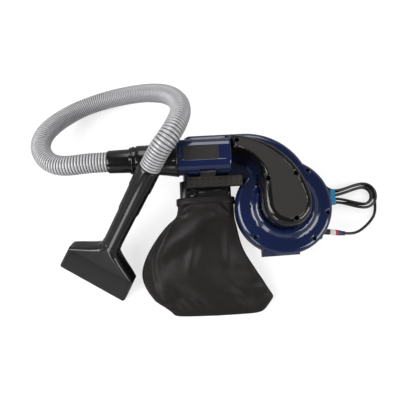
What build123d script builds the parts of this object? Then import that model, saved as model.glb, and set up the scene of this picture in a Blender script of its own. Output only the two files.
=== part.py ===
"""Hand-held electric blower and vacuum, lying on its motor cover, with suction hose, nozzle and dust bag.

Millimetres. The origin is on the fan axis, at the table that the motor cover rests on. +Z is up along the
fan axis, +X points away from the hose, and the dust bag lies towards -Y.
"""

import math
import os

from build123d import *

os.makedirs("parts", exist_ok=True)

# Clearances
run_gap = 0.05  # radial, shaft or pin turning in its bore
side_gap = 0.3  # between pieces that pass each other

# Fan housing: a scroll in two halves, parted at mid height
wall = 3.0
volute_r = 96.0
rear_z = 62.0
parting_z = 106.0
front_z = 118.0
edge_r = 11.0
kink_angle = 62.0  # where the scroll leaves the round volute
scroll_top_x = -72.0
scroll_top_y = 153.7
outlet_left_x = -198.0
outlet_end_y = 58.0
outlet_corner_r = 18.0
rim_outer_r = 66.0  # sloping rim round the fan eye cover
rim_inner_r = 56.0
rim_z = 130.0
eye_r = 35.0
foot_left_x = -46.0
foot_right_x = 28.0
foot_y = -99.0
boss_r = 6.5
rim_step = 4.0  # the cavity draws in under the rounded rim
boss_pitch_r = 86.0
boss_angles = (-12.0, -52.0, 53.0, 224.0)
duct_boss = (-107.0, 144.0)
rear_pockets = ((-178.0, 9.0), (-143.0, 19.0))  # middle and length of the two pockets behind the inlet tube
rear_pocket_y = 136.0
rear_pocket_width = 5.0
rear_pocket_depth = 2.0

# Screws
screw_r = 1.95
screw_head_r = 3.8
screw_head_h = 2.6
screw_length = 18.0
screw_seat_depth = 7.0
screw_slot = 0.9

# Suction duct cover: comma shaped, with a carrying neck beside a finger recess
cover_top_z = 178.0
cover_shoulder_z = 158.0
cover_wall = 2.8
eye_cover_x = -3.5
eye_cover_r = 46.5
eye_top_x = -2.0
eye_top_r = 34.0
neck_end_x = -103.0
neck_end_round = 9.0
neck_inner_y = 105.0
neck_outer_y = 132.0
neck_turn_y = 66.0
neck_top_inner_y = 107.0
neck_top_outer_y = 129.0
neck_top_turn_y = 32.0
outer_arc_angle = 10.0
panel_margin = 2.5
panel_thickness = 1.2
panel_pocket = 1.6
pillar_r = 5.6
cover_screw_points = ((-92.0, 120.0), (-38.5, 44.0), (7.5, -32.0), (13.0, 51.0))
shoulder_angles = (0.0, 20.0, 38.0, 54.0, 70.0, 90.0)
pillar_root = 0.6
cover_screw_seat_z = 130.0
cover_screw_length = 14.0

# Inlet tube on the outlet elbow, and the hose coupling in its left end
tube_left_x = -204.0
tube_right_x = neck_end_x
tube_y = 98.0
tube_half_width = 31.0
tube_top_z = 180.0
tube_corner_r = 18.0
tube_front_r = 13.0
tube_end_r = 5.0
tube_wall = 3.5
inlet_y = 96.0
inlet_z = 150.0
badge_length = 66.0
badge_width = 26.0
badge_thickness = 1.5
badge_proud = 0.3
badge_x = -160.0
spigot_r = 25.0
spigot_length = 14.0
collar_small_r = 28.5
collar_large_r = 35.0
collar_left_x = -284.0
ring_r = 26.0
ring_length = 12.0
ring_bead_r = 1.6
cuff_r = 23.0
cuff_end_r = 22.0
cuff_length = 43.0
bore_r = 16.0  # the air way of hose, cuffs and wand

# Ribbed hose: crest and root radii, and the points of its route
hose_crest_r = 19.5
hose_root_r = 17.4
hose_ribs = 72
hose_start_x = collar_left_x - ring_length - cuff_length

# Wand and nozzle on one sloping axis
wand_top = Vector(-253.5, 69.0, 198.6)
wand_heading = 232.6  # degrees from +X, in plan
wand_descent = 36.75
wand_cuff_length = 47.0
wand_cuff_r = 21.4
wand_cuff_end_r = 22.0
sleeve_length = 58.0
sleeve_r = 20.7
sleeve_socket_r = 17.6
sleeve_socket_depth = 32.0
pipe_length = 88.8
pipe_r = 19.0
nozzle_twist = -9.0
nozzle_neck_r = 19.6
nozzle_neck_length = 10.0
nozzle_shoulder = 60.0
nozzle_length = 122.0
nozzle_shoulder_width = 152.0
nozzle_width = 160.0
nozzle_back_height = 33.0
nozzle_lip_height = 20.0
nozzle_lip_round = 6.0
nozzle_neck_round = 0.97  # corner radius of the neck as a share of its half height
nozzle_flare = (
    (0.2, 0.09, 15.0),  # share of the way to the shoulder, share of the widening, corner radius
    (0.4, 0.28, 12.0),
    (0.6, 0.51, 10.0),
    (0.82, 0.8, 9.0),
    (1.0, 1.0, 8.0),
)
nozzle_mouth_slant = 52.0  # between the mouth's plane and the axis
nozzle_wall = 2.6
comb_teeth = 24
comb_half_length = 68.0
comb_thickness = 2.4
comb_root = 9.0
comb_reach = 2.0
comb_tooth_share = 0.55

# Bag frame on the outlet, with its latch
frame_left_x = -206.0
frame_right_x = -103.0
frame_low_z = 65.0
frame_high_z = 116.0
frame_end_y = 14.0
frame_wall = 3.0
frame_corner_r = 12.0
plug_in_depth = 9.0
flap_left_x = -168.0
flap_right_x = -121.0
flap_high_y = 39.0
flap_thickness = 3.0
column_left_x = -201.0
column_right_x = -190.0
column_low_y = 26.0
column_height = 2.4
post_r = 2.5
post_y = 30.0
post_height = 5.0
mount_root = 6.0
bar_left_x = -192.0
bar_right_x = -80.0
bar_low_y = 42.5
bar_high_y = 65.0
bar_low_z = 120.5
bar_high_z = 129.0
grip_marks = 9
grip_pitch = 11.4
grip_dot_r = 1.6
grip_dot_y = 5.0
grip_depth = 1.6
latch_pivot_y = 54.0
latch_pivot_z = 123.6
latch_pin_r = 1.6
ear_width = 5.0
ear_half_depth = 3.8
ear_xs = (-176.0, -108.0)
ear_over = 2.6
tongue_left_x = -163.0
tongue_right_x = -134.0
tongue_top_z = 168.0
tongue_thickness = 3.6
tongue_gap = 0.9
catch_z = 151.0
catch_height = 3.0
catch_depth = 2.6
catch_half_length = 9.0
window_over = 2.0

# Dust bag: left, right, low and high limits of its sections, from the frame to the hem
bag_cloth = 2.6
bag_top_y = 23.0
bag_round = 0.42  # corner radius of a section as a share of its height
bag_neck = (-212.0, -98.0, 62.0, 119.0)
bag_sections = (
    (bag_top_y, *bag_neck),
    (11.0, *bag_neck),
    (-12.0, -215.0, -98.0, 58.0, 112.0),
    (-40.0, -254.0, -90.0, 30.0, 88.0),
    (-78.0, -284.0, -82.0, 6.0, 62.0),
    (-110.0, -299.0, -60.0, 0.0, 48.0),
    (-140.0, -301.0, -43.0, 0.0, 40.0),
    (-181.0, -274.0, -17.0, 0.0, 28.0),
    (-205.0, -240.0, -32.0, 0.0, 14.0),
    (-219.0, -231.0, -60.0, 1.0, 7.0),
)
bag_hollow_end = 7  # the sections from the frame's end to here are hollow
band_width = 11.0
band_thickness = 1.4

# Motor cover with the switch lobe, and what turns in it
cover_r = 50.0
motor_cover_wall = 2.5
motor_floor = 3.0
lobe_angle = -8.0
lobe_end = 94.0
lobe_low_q = -56.0
lobe_high_q = -17.0
lobe_low_z = 12.0
cover_edge_r = 6.0
vent_slots = 14
vent_inner_r = 17.0
vent_outer_r = 35.0
vent_width = 3.0
motor_pillar_r = 5.0
motor_screw_seat_z = 48.0
seat_ribs = 4
seat_rib_angle = 80.0
seat_rib_width = 5.0
shaft_r = 4.0
shaft_clearance = 1.3  # round the shaft where it passes the rear wall
bearing_r = 10.0
bearing_h = 7.0
rear_bearing_z = 4.0
front_bearing_z = 56.5
bearing_wall = 3.0
stator_r = 38.0
stator_low_z = 27.0
stator_high_z = 48.0
air_gap = 0.7
armature_r = 18.0
slot_count = 12
slot_depth = 5.0
slot_width = 2.4
coil_inner_r = 21.5
coil_outer_r = 32.0
coil_span = 62.0
coil_overhang = 2.0
coil_side = 1.0
commutator_r = 11.0
commutator_low_z = 13.5
commutator_h = 11.0
commutator_groove = 0.6
brush_size = 6.0
brush_gap = 0.3
brush_length = 15.0
brush_z = 19.0
holder_size = 10.0
holder_inner_r = 13.0
holder_reach = 30.0
cooling_fan_r = 34.0
cooling_fan_z = 51.0
cooling_fan_h = 4.5
motor_screw_pitch_r = 43.4
motor_screw_angles = (35.0, 125.0, 215.0, 325.0)

# Impeller on the shaft's front end
impeller_r = 72.0
impeller_low_z = 69.0
impeller_high_z = 111.0
impeller_plate = 2.4
impeller_vanes = 9
vane_thickness = 2.0
vane_tip_gap = 1.0
vane_root_r = 30.0
vane_sweep = 42.0
hub_r = 10.0
hub_height = 24.0
nut_r = 7.5
nut_h = 5.0
shaft_tip = 4.0

# Rocker switch in the lobe's side
switch_p = 72.0
switch_z = 38.0
switch_width = 22.0
switch_height = 19.0
switch_depth = 26.0
rocker_width = 18.0
rocker_height = 12.0
rocker_thickness = 9.0
rocker_tilt = 6.0
trunnion_r = 1.2
trunnion_length = 2.0
rocker_play = 1.0
rocker_pivot_depth = 2.5
rocker_proud = 0.8
rocker_edge_r = 1.2

# Power cord: strain relief, free lead, hank, tie and plug
cord_r = 3.0
relief_q = -36.5
relief_z = 42.0
relief_length = 52.0
relief_flange_r = 8.5
relief_flange_h = 3.0
relief_neck_r = 5.0
cord_hold = 12.0
relief_base_r = 6.6
relief_tip_r = 4.6
sleeve_band_start = 20.0
sleeve_band_length = 24.0
sleeve_band_thickness = 0.6
hank_centre = (131.7, 28.2)
hank_right = 70.0
hank_left = 40.0
hank_low_z = 4.6
layer_step = 6.7
waist_step = 8.0
waist_share = 0.33  # half the free width between the two inner runs, in cord radii
right_lobe_r = 27.0
left_lobe_r = 24.0
tie_width = 11.0
tie_thickness = 1.2
tie_slack = 1.2
tie_play = 0.4
tie_corner_r = 4.0
plug_run = 42.0
plug_side = 35.0
plug_r = 13.2
plug_neck_r = 5.2
plug_taper = 26.0
plug_body = 20.0
plug_z = plug_r + 0.2
pin_r = 2.4
pin_length = 19.0
pin_spacing = 19.0


def on_circle(radius, degrees):
    """Point at an angle on a circle round the fan axis."""
    return (radius * math.cos(math.radians(degrees)), radius * math.sin(math.radians(degrees)))


def draw_scroll():
    """Outlet side of the fan scroll: from the kink over the top to the end of the outlet elbow."""
    kink = on_circle(volute_r, kink_angle)
    TangentArc((scroll_top_x, scroll_top_y), kink, tangent=(1, 0))
    Polyline(
        (scroll_top_x, scroll_top_y),
        (outlet_left_x, scroll_top_y),
        (outlet_left_x, outlet_end_y),
        (0, outlet_end_y),
        kink,
    )


def draw_comma(centre_x, radius, turn_y, inner_y, outer_y, end_x=neck_end_x):
    """Comma outline: round end over the fan eye, and a neck that sweeps up to the inlet tube."""
    start = (centre_x - radius, 0)
    turn = (centre_x - radius, turn_y)
    swing = math.radians(outer_arc_angle)
    shoulder = (centre_x + radius * math.cos(swing), radius * math.sin(swing))
    Line(start, turn)
    TangentArc(turn, (end_x, inner_y), tangent=(0, 1))
    Line((end_x, inner_y), (end_x, outer_y))
    TangentArc(shoulder, (end_x, outer_y), tangent=(-math.sin(swing), math.cos(swing)))
    ThreePointArc(start, (centre_x, -radius), shoulder)


def draw_cover_section(share, inset, end_x=neck_end_x):
    """Duct cover outline between its base, share 0, and its top, share 1, drawn in by an inset."""

    def between(base, top):
        return base + (top - base) * share

    draw_comma(
        between(eye_cover_x, eye_top_x),
        between(eye_cover_r, eye_top_r) - inset,
        between(neck_turn_y, neck_top_turn_y),
        between(neck_inner_y, neck_top_inner_y) + inset,
        between(neck_outer_y, neck_top_outer_y) - inset,
        end_x,
    )


def corner_radii(points):
    """Largest tangent arcs that the runs of a route allow, one for each inner point."""
    radii = []
    for before, corner, after in zip(points, points[1:], points[2:]):
        turn = math.radians((corner - before).get_angle(after - corner))
        shorter = min((corner - before).length, (after - corner).length)
        radii.append(0.45 * shorter / math.tan(turn / 2))
    return radii


def report_tube(name, tube, section_area, path_length, radii):
    """Print how a tube's volume compares with its section times its length, and its tightest arcs."""
    ratio = tube.volume / (section_area * path_length)
    tightest = " ".join(f"{radius:.0f}" for radius in radii)
    print(f"{name}: length {path_length:.0f} mm, volume ratio {ratio:.4f}, radii {tightest}")


screw_points = [on_circle(boss_pitch_r, angle) for angle in boss_angles] + [duct_boss]

# Front half of the scroll, with the rim round the fan eye
with BuildPart() as front_housing:
    with BuildSketch(Plane.XY.offset(parting_z)):
        with BuildLine():
            draw_scroll()
        make_face()
        fillet(vertices().group_by(Axis.X)[0].sort_by(Axis.Y)[-1], radius=outlet_corner_r)
    extrude(amount=front_z - parting_z)
    outer_rim = front_housing.edges().group_by(Axis.Z)[-1].filter_by(
        lambda edge: (edge @ 0.5).Y > outlet_end_y + wall and (edge @ 0.5).length > volute_r + front_z / 2
    )
    fillet(outer_rim, radius=edge_r)
    with BuildSketch(Plane.XZ):
        with BuildLine():
            bend = TangentArc((volute_r, front_z - edge_r), (volute_r - edge_r, front_z), tangent=(0, 1))
            Polyline(
                bend @ 1,
                (rim_outer_r, front_z + wall / 2),
                (rim_inner_r, rim_z),
                (0, rim_z),
                (0, parting_z),
                (volute_r, parting_z),
                bend @ 0,
            )
        make_face()
    revolve(axis=Axis.Z)
    with BuildSketch(Plane.XY.offset(front_z)):
        with BuildLine():
            draw_cover_section(0, -side_gap, neck_end_x - side_gap)
        make_face()
    extrude(amount=rim_z - front_z, mode=Mode.SUBTRACT)
    for depth, inset in ((rim_step, wall), (front_z - wall - parting_z, edge_r - rim_step)):
        with BuildSketch(Plane.XY.offset(parting_z)):
            with BuildLine():
                draw_scroll()
            make_face()
            offset(amount=-inset, kind=Kind.INTERSECTION)
            Circle(volute_r - inset)
        extrude(amount=depth, mode=Mode.SUBTRACT)
    with BuildSketch(Plane.XY.offset(parting_z)):
        with Locations(*screw_points):
            Circle(boss_r)
    extrude(amount=front_z - wall - parting_z)
    with Locations((0, 0, front_z)):
        Hole(eye_r)
    with Locations(*[(x, y, front_z) for x, y in screw_points]):
        CounterBoreHole(screw_r + 2 * run_gap, screw_head_r + side_gap, screw_seat_depth)
    with Locations(*[(x, y, front_z) for x, y in cover_screw_points]):
        Hole(screw_r + run_gap)
    with Locations(((outlet_left_x + frame_right_x) / 2, outlet_end_y, parting_z)):
        Box(
            frame_right_x - outlet_left_x - 2 * wall,
            2 * edge_r,
            2 * (frame_high_z - frame_wall - parting_z),
            mode=Mode.SUBTRACT,
        )
    with BuildSketch(Plane.XY.offset(front_z)):
        for pocket_x, pocket_length in rear_pockets:
            with Locations((pocket_x, rear_pocket_y)):
                SlotOverall(pocket_length, rear_pocket_width)
    extrude(amount=-rear_pocket_depth, mode=Mode.SUBTRACT)
front_housing.part.label = "front_housing"
export_step(front_housing.part, "parts/front_housing.step")

# Rear half of the scroll: motor wall with the bearing seat, outlet floor and the moulded foot
with BuildPart() as rear_housing:
    with BuildSketch(Plane.XY.offset(rear_z)):
        with BuildLine():
            draw_scroll()
        make_face()
        fillet(vertices().group_by(Axis.X)[0].sort_by(Axis.Y)[-1], radius=outlet_corner_r)
    extrude(amount=parting_z - rear_z)
    lower_rim = rear_housing.edges().group_by(Axis.Z)[0].filter_by(
        lambda edge: (edge @ 0.5).Y > outlet_end_y + wall and (edge @ 0.5).length > volute_r + rear_z / 2
    )
    fillet(lower_rim, radius=edge_r)
    with BuildSketch(Plane.XZ):
        with BuildLine():
            bend = TangentArc((volute_r, rear_z + edge_r), (volute_r - edge_r, rear_z), tangent=(0, -1))
            Polyline(bend @ 1, (0, rear_z), (0, parting_z), (volute_r, parting_z), bend @ 0)
        make_face()
    revolve(axis=Axis.Z)
    with BuildSketch(Plane.XY.offset(rear_z + edge_r)):
        with Locations(((foot_left_x + foot_right_x) / 2, foot_y / 2)):
            Rectangle(foot_right_x - foot_left_x, -foot_y)
    extrude(amount=parting_z - rear_z - 2 * edge_r)
    with BuildSketch(Plane.XY.offset(rear_z + wall)):
        with BuildLine():
            draw_scroll()
        make_face()
        offset(amount=-wall, kind=Kind.INTERSECTION)
        Circle(volute_r - wall)
    extrude(amount=parting_z - rear_z - wall, mode=Mode.SUBTRACT)
    with BuildSketch(Plane.XY.offset(rear_z)):
        with Locations(*screw_points):
            Circle(boss_r)
    extrude(amount=parting_z - rear_z)
    with BuildSketch(Plane.XY.offset(front_bearing_z)):
        Circle(bearing_r + bearing_wall)
    extrude(amount=rear_z - front_bearing_z)
    with Locations((0, 0, rear_z)):
        Hole(shaft_r + shaft_clearance)
    with BuildSketch(Plane.XY.offset(front_bearing_z)):
        Circle(bearing_r)
    extrude(amount=bearing_h, mode=Mode.SUBTRACT)
    with BuildSketch(Plane.XY.offset(parting_z)):
        with Locations(*screw_points):
            Circle(screw_r + run_gap)
    extrude(amount=-screw_length, mode=Mode.SUBTRACT)
    with BuildSketch(Plane.XY.offset(rear_z)):
        with Locations(*[on_circle(motor_screw_pitch_r, angle) for angle in motor_screw_angles]):
            Circle(screw_r + run_gap)
    extrude(amount=wall, mode=Mode.SUBTRACT)
    with Locations(((outlet_left_x + frame_right_x) / 2, outlet_end_y, parting_z)):
        Box(
            frame_right_x - outlet_left_x - 2 * wall,
            4 * wall,
            2 * (parting_z - frame_low_z - frame_wall),
            mode=Mode.SUBTRACT,
        )
rear_housing.part.label = "rear_housing"
export_step(rear_housing.part, "parts/rear_housing.step")

# Comma shaped cover over the suction duct, a hollow shell with four screw pillars
panel_end_x = neck_end_x + neck_end_round + panel_margin
window_low_y = neck_inner_y + cover_wall + side_gap
window_high_y = tube_y + tube_half_width - tube_wall
window_low_z = front_z + tube_wall
window_high_z = cover_shoulder_z - side_gap
with BuildPart() as duct_cover:
    with BuildSketch(Plane.XY.offset(front_z)):
        with BuildLine():
            draw_cover_section(0, 0)
        make_face()
    extrude(amount=cover_shoulder_z - front_z)
    shoulder_height = cover_top_z - cover_shoulder_z
    for angle in shoulder_angles:
        rise = math.sin(math.radians(angle))
        share = 1 - math.cos(math.radians(angle))
        with BuildSketch(Plane.XY.offset(cover_shoulder_z + rise * shoulder_height)):
            with BuildLine():
                draw_cover_section(share, 0, neck_end_x + share * neck_end_round)
            make_face()
    loft(ruled=True)
    with BuildSketch(Plane.XY.offset(front_z)):
        with BuildLine():
            draw_cover_section(0, cover_wall, neck_end_x + cover_wall)
        make_face()
    extrude(amount=cover_shoulder_z - front_z, mode=Mode.SUBTRACT)
    inner_height = shoulder_height - cover_wall - panel_pocket
    for angle in shoulder_angles:
        rise = math.sin(math.radians(angle))
        share = 1 - math.cos(math.radians(angle))
        with BuildSketch(Plane.XY.offset(cover_shoulder_z + rise * inner_height)):
            with BuildLine():
                draw_cover_section(share, cover_wall, neck_end_x + share * neck_end_round + cover_wall)
            make_face()
    loft(ruled=True, mode=Mode.SUBTRACT)
    with Locations((neck_end_x, (window_low_y + window_high_y) / 2, (window_low_z + window_high_z) / 2)):
        Box(3 * cover_wall, window_high_y - window_low_y, window_high_z - window_low_z, mode=Mode.SUBTRACT)
    with BuildSketch(Plane.XY.offset(front_z)):
        with Locations(*cover_screw_points):
            Circle(pillar_r)
    extrude(amount=cover_shoulder_z + inner_height + pillar_root - front_z)
    with BuildSketch(Plane.XY.offset(cover_top_z)):
        with BuildLine():
            draw_cover_section(1, panel_margin, panel_end_x)
        make_face()
    extrude(amount=-panel_pocket, mode=Mode.SUBTRACT)
    with Locations(*[(x, y, cover_top_z) for x, y in cover_screw_points]):
        CounterBoreHole(
            screw_r + 2 * run_gap,
            screw_head_r + side_gap,
            cover_top_z - cover_screw_seat_z,
            depth=cover_top_z - front_z,
        )
duct_cover.part.label = "duct_cover"
export_step(duct_cover.part, "parts/duct_cover.step")

# Plain matt panel let into the cover's top
with BuildPart() as duct_panel:
    with BuildSketch(Plane.XY.offset(cover_top_z - panel_pocket)):
        with BuildLine():
            draw_cover_section(1, panel_margin + run_gap, panel_end_x + run_gap)
        make_face()
        with Locations(*cover_screw_points):
            Circle(screw_head_r + side_gap, mode=Mode.SUBTRACT)
    extrude(amount=panel_thickness)
duct_panel.part.label = "duct_panel"
export_step(duct_panel.part, "parts/duct_panel.step")

# Inlet tube: a rounded box on the outlet elbow, open to the coupling and to the duct cover's neck
inlet_axis = Axis((0, inlet_y, inlet_z), (1, 0, 0))
inlet_plane = Plane(origin=(0, inlet_y, inlet_z), x_dir=(1, 0, 0), z_dir=(0, -1, 0))
tube_low_y = tube_y - tube_half_width
tube_mid_x = (tube_left_x + tube_right_x) / 2
tube_length = tube_right_x - tube_left_x
tongue_mid_x = (tongue_left_x + tongue_right_x) / 2
with BuildPart() as inlet_tube_cover:
    with BuildSketch(Plane.YZ.offset(tube_left_x)):
        with Locations((tube_y, (front_z + tube_top_z) / 2)):
            Rectangle(2 * tube_half_width, tube_top_z - front_z)
        fillet(vertices().group_by(Axis.Y)[-1], radius=tube_corner_r)
        fillet(vertices().group_by(Axis.Y)[0].sort_by(Axis.Z)[-1], radius=tube_front_r)
    extrude(amount=tube_length)
    tube_end = inlet_tube_cover.faces().sort_by(Axis.X)[-1]
    fillet(tube_end.edges().filter_by(lambda edge: (edge @ 0.5).Z > front_z), radius=tube_end_r)
    with BuildSketch(Plane.YZ.offset(tube_left_x + tube_wall)):
        with Locations((tube_y, (front_z + tube_top_z) / 2)):
            Rectangle(2 * (tube_half_width - tube_wall), tube_top_z - front_z - 2 * tube_wall)
        fillet(vertices().group_by(Axis.Y)[-1], radius=tube_corner_r - tube_wall)
        fillet(vertices().group_by(Axis.Y)[0].sort_by(Axis.Z)[-1], radius=tube_front_r - tube_wall)
    extrude(amount=tube_length - tube_wall - tube_end_r, mode=Mode.SUBTRACT)
    with BuildSketch(inlet_plane):
        with Locations((tube_left_x + tube_wall / 2, (spigot_r + run_gap) / 2)):
            Rectangle(2 * tube_wall, spigot_r + run_gap)
    revolve(axis=inlet_axis, mode=Mode.SUBTRACT)
    with Locations((tube_right_x, (window_low_y + window_high_y) / 2, (window_low_z + window_high_z) / 2)):
        Box(3 * tube_end_r, window_high_y - window_low_y, window_high_z - window_low_z, mode=Mode.SUBTRACT)
    with BuildSketch(Plane.XY.offset(tube_top_z)):
        with Locations((badge_x, tube_y)):
            RectangleRounded(badge_length, badge_width, tube_wall)
    extrude(amount=-(badge_thickness - badge_proud), mode=Mode.SUBTRACT)
    with Locations((tongue_mid_x, tube_low_y - catch_depth / 2, catch_z + catch_height / 2)):
        Box(2 * catch_half_length, catch_depth, catch_height)
inlet_tube_cover.part.label = "inlet_tube_cover"
export_step(inlet_tube_cover.part, "parts/inlet_tube_cover.step")

# Blank plate let into the tube's top
with BuildPart() as badge_plate:
    with BuildSketch(Plane.XY.offset(tube_top_z - badge_thickness + badge_proud)):
        with Locations((badge_x, tube_y)):
            RectangleRounded(badge_length - 2 * run_gap, badge_width - 2 * run_gap, tube_wall)
    extrude(amount=badge_thickness)
    fillet(badge_plate.edges().group_by(Axis.Z)[-1], radius=badge_proud / 2)
badge_plate.part.label = "badge_plate"
export_step(badge_plate.part, "parts/badge_plate.step")

# Flared coupling collar, plugged into the tube
with BuildPart() as inlet_collar:
    with BuildSketch(inlet_plane):
        with BuildLine():
            flare = TangentArc(
                (collar_left_x + ring_length, collar_small_r),
                (tube_left_x - wall, collar_large_r),
                tangent=(1, 0),
            )
            Polyline(
                flare @ 1,
                (tube_left_x, collar_large_r),
                (tube_left_x, spigot_r),
                (tube_left_x + spigot_length, spigot_r),
                (tube_left_x + spigot_length, spigot_r - wall),
                (collar_left_x + wall, bore_r),
                (collar_left_x, bore_r),
                (collar_left_x, collar_small_r - wall / 2),
                (collar_left_x + wall / 2, collar_small_r),
                flare @ 0,
            )
        make_face()
    revolve(axis=inlet_axis)
inlet_collar.part.label = "inlet_collar"
export_step(inlet_collar.part, "parts/inlet_collar.step")

# Lock ring between collar and hose cuff, with a bead round it
with BuildPart() as lock_ring:
    with BuildSketch(inlet_plane):
        with Locations((collar_left_x - ring_length / 2, (bore_r + ring_r) / 2)):
            Rectangle(ring_length, ring_r - bore_r)
        with Locations((collar_left_x - ring_length / 2, ring_r)):
            Circle(ring_bead_r)
    revolve(axis=inlet_axis)
lock_ring.part.label = "lock_ring"
export_step(lock_ring.part, "parts/lock_ring.step")

# Soft cuff on the machine end of the hose
with BuildPart() as body_hose_cuff:
    with BuildSketch(inlet_plane):
        with BuildLine():
            Polyline(
                (hose_start_x, bore_r),
                (collar_left_x - ring_length, bore_r),
                (collar_left_x - ring_length, cuff_r),
                (hose_start_x + wall / 2, cuff_end_r),
                (hose_start_x, cuff_end_r - wall / 2),
                close=True,
            )
        make_face()
    revolve(axis=inlet_axis)
body_hose_cuff.part.label = "body_hose_cuff"
export_step(body_hose_cuff.part, "parts/body_hose_cuff.step")

# The wand's axis, and planes across it
heading = math.radians(wand_heading)
descent = math.radians(wand_descent)
wand_way = Vector(
    math.cos(descent) * math.cos(heading), math.cos(descent) * math.sin(heading), -math.sin(descent)
)
wand_side = Vector(-math.sin(heading), math.cos(heading), 0)
wand_axis = Axis(wand_top, wand_way)


def wand_plane(distance):
    """Plane across the wand at a distance below the hose's end: local X level, local Y up."""
    return Plane(origin=wand_top + wand_way * distance, x_dir=wand_side, z_dir=wand_way)


# Ribbed suction hose: a loop from the coupling down to the table and up over the collar to the wand
hose_straight = 2 * hose_crest_r + 2.0
hose_route = [
    Vector(hose_start_x, inlet_y, inlet_z),
    Vector(hose_start_x - hose_straight, inlet_y, inlet_z),
    Vector(-413, 93, 147),
    Vector(-444, 97, 139),
    Vector(-471, 114, 126),
    Vector(-489, 143, 111),
    Vector(-488, 177, 93),
    Vector(-475, 211, 64),
    Vector(-453, 243, 34),
    Vector(-423, 265, 19.7),
    Vector(-380, 278, 19.7),
    Vector(-337, 279, 36),
    Vector(-295, 273, 61),
    Vector(-256, 260, 92),
    Vector(-221, 238, 130),
    Vector(-198, 206, 167),
    Vector(-193, 172, 198),
    Vector(-202, 141, 220),
    Vector(-215, 116, 230),
    wand_top - wand_way * hose_straight,
    wand_top,
]
hose_radii = corner_radii(hose_route)
with BuildLine() as hose_path:
    FilletPolyline(*hose_route, radius=hose_radii)
hose_wire = hose_path.wire()
hose_length = hose_wire.length
rib_pitch = hose_length / hose_ribs
rib_shape = ((0.0, hose_root_r), (0.34, hose_root_r), (0.5, hose_crest_r), (0.84, hose_crest_r))


def hose_plane(distance):
    """Plane across the hose at a distance along it, with its X axis level."""
    along = hose_wire.tangent_at(distance, position_mode=PositionMode.LENGTH)
    at = hose_wire.position_at(distance, position_mode=PositionMode.LENGTH)
    return Plane(origin=at, x_dir=along.cross(Vector(0, 0, 1)), z_dir=along)


with BuildPart() as suction_hose:
    for rib in range(hose_ribs):
        for share, radius in rib_shape:
            with BuildSketch(hose_plane((rib + share) * rib_pitch)):
                Circle(radius)
    with BuildSketch(hose_plane(hose_length)):
        Circle(hose_root_r)
    loft(ruled=True)
    with BuildSketch(hose_plane(0)):
        Circle(bore_r)
    sweep(path=hose_wire, mode=Mode.SUBTRACT)
suction_hose.part.label = "suction_hose"
export_step(suction_hose.part, "parts/suction_hose.step")
hose_area = math.pi * ((hose_crest_r + hose_root_r) ** 2 / 4 - bore_r**2)
report_tube("suction_hose", suction_hose.part, hose_area, hose_length, hose_radii)

# Cuff on the wand end of the hose, and the adapter sleeve that the pipe turns in
sleeve_end = wand_cuff_length + sleeve_length
with BuildPart() as wand_hose_cuff:
    with BuildSketch(wand_plane(0)):
        Circle(wand_cuff_r)
    with BuildSketch(wand_plane(wand_cuff_length)):
        Circle(wand_cuff_end_r)
    loft(ruled=True)
    chamfer(wand_hose_cuff.faces().sort_by(wand_axis)[0].edges(), length=wall / 2)
    with BuildSketch(wand_plane(0)):
        Circle(bore_r)
    extrude(amount=wand_cuff_length, mode=Mode.SUBTRACT)
wand_hose_cuff.part.label = "wand_hose_cuff"
export_step(wand_hose_cuff.part, "parts/wand_hose_cuff.step")

with BuildPart() as adapter_sleeve:
    with BuildSketch(wand_plane(wand_cuff_length)):
        Circle(sleeve_r)
        Circle(bore_r, mode=Mode.SUBTRACT)
    extrude(amount=sleeve_length)
    with BuildSketch(wand_plane(sleeve_end)):
        Circle(sleeve_socket_r)
    extrude(amount=-sleeve_socket_depth, mode=Mode.SUBTRACT)
    chamfer(adapter_sleeve.faces().sort_by(wand_axis)[-1].edges().sort_by(SortBy.RADIUS)[-1], length=wall / 3)
adapter_sleeve.part.label = "adapter_sleeve"
export_step(adapter_sleeve.part, "parts/adapter_sleeve.step")

# Wand pipe: its spigot turns in the sleeve, and its body runs down to the nozzle head
pipe_end = sleeve_end + side_gap + pipe_length
pipe_bore_r = bore_r - wall / 2
with BuildPart() as wand_pipe:
    with BuildSketch(wand_plane(sleeve_end + side_gap)):
        Circle(pipe_r)
    extrude(amount=pipe_length)
    with BuildSketch(wand_plane(sleeve_end + side_gap)):
        Circle(sleeve_socket_r - run_gap)
    extrude(amount=-(sleeve_socket_depth - wall))
    with BuildSketch(wand_plane(sleeve_end + side_gap - sleeve_socket_depth)):
        Circle(pipe_bore_r)
    extrude(amount=sleeve_socket_depth + pipe_length, mode=Mode.SUBTRACT)
wand_pipe.part.label = "wand_pipe"
export_step(wand_pipe.part, "parts/wand_pipe.step")

# Flared nozzle head: round at the neck, flat and wide at the slanted mouth, hollow all through
neck_plane = wand_plane(pipe_end)
twist = math.radians(nozzle_twist)
nozzle_base = Plane(
    origin=neck_plane.origin,
    x_dir=neck_plane.x_dir * math.cos(twist) + neck_plane.y_dir * math.sin(twist),
    z_dir=wand_way,
)
nozzle_along = nozzle_base.z_dir
nozzle_up = nozzle_base.y_dir
nozzle_side = Plane(origin=nozzle_base.origin, x_dir=nozzle_along, z_dir=nozzle_base.x_dir)
neck_round = nozzle_neck_r * nozzle_neck_round
flare_length = nozzle_shoulder - nozzle_neck_length
nozzle_sections = [
    (0, nozzle_neck_r, nozzle_neck_r, neck_round),
    (nozzle_neck_length, nozzle_neck_r, nozzle_neck_r, neck_round),
]
for way_share, width_share, corner_r in nozzle_flare:
    nozzle_sections.append(
        (
            nozzle_neck_length + way_share * flare_length,
            nozzle_neck_r + width_share * (nozzle_shoulder_width / 2 - nozzle_neck_r),
            nozzle_neck_r + way_share * (nozzle_back_height / 2 - nozzle_neck_r),
            corner_r,
        )
    )
nozzle_sections.append((nozzle_length, nozzle_width / 2, nozzle_lip_height / 2, nozzle_lip_round))

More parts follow.
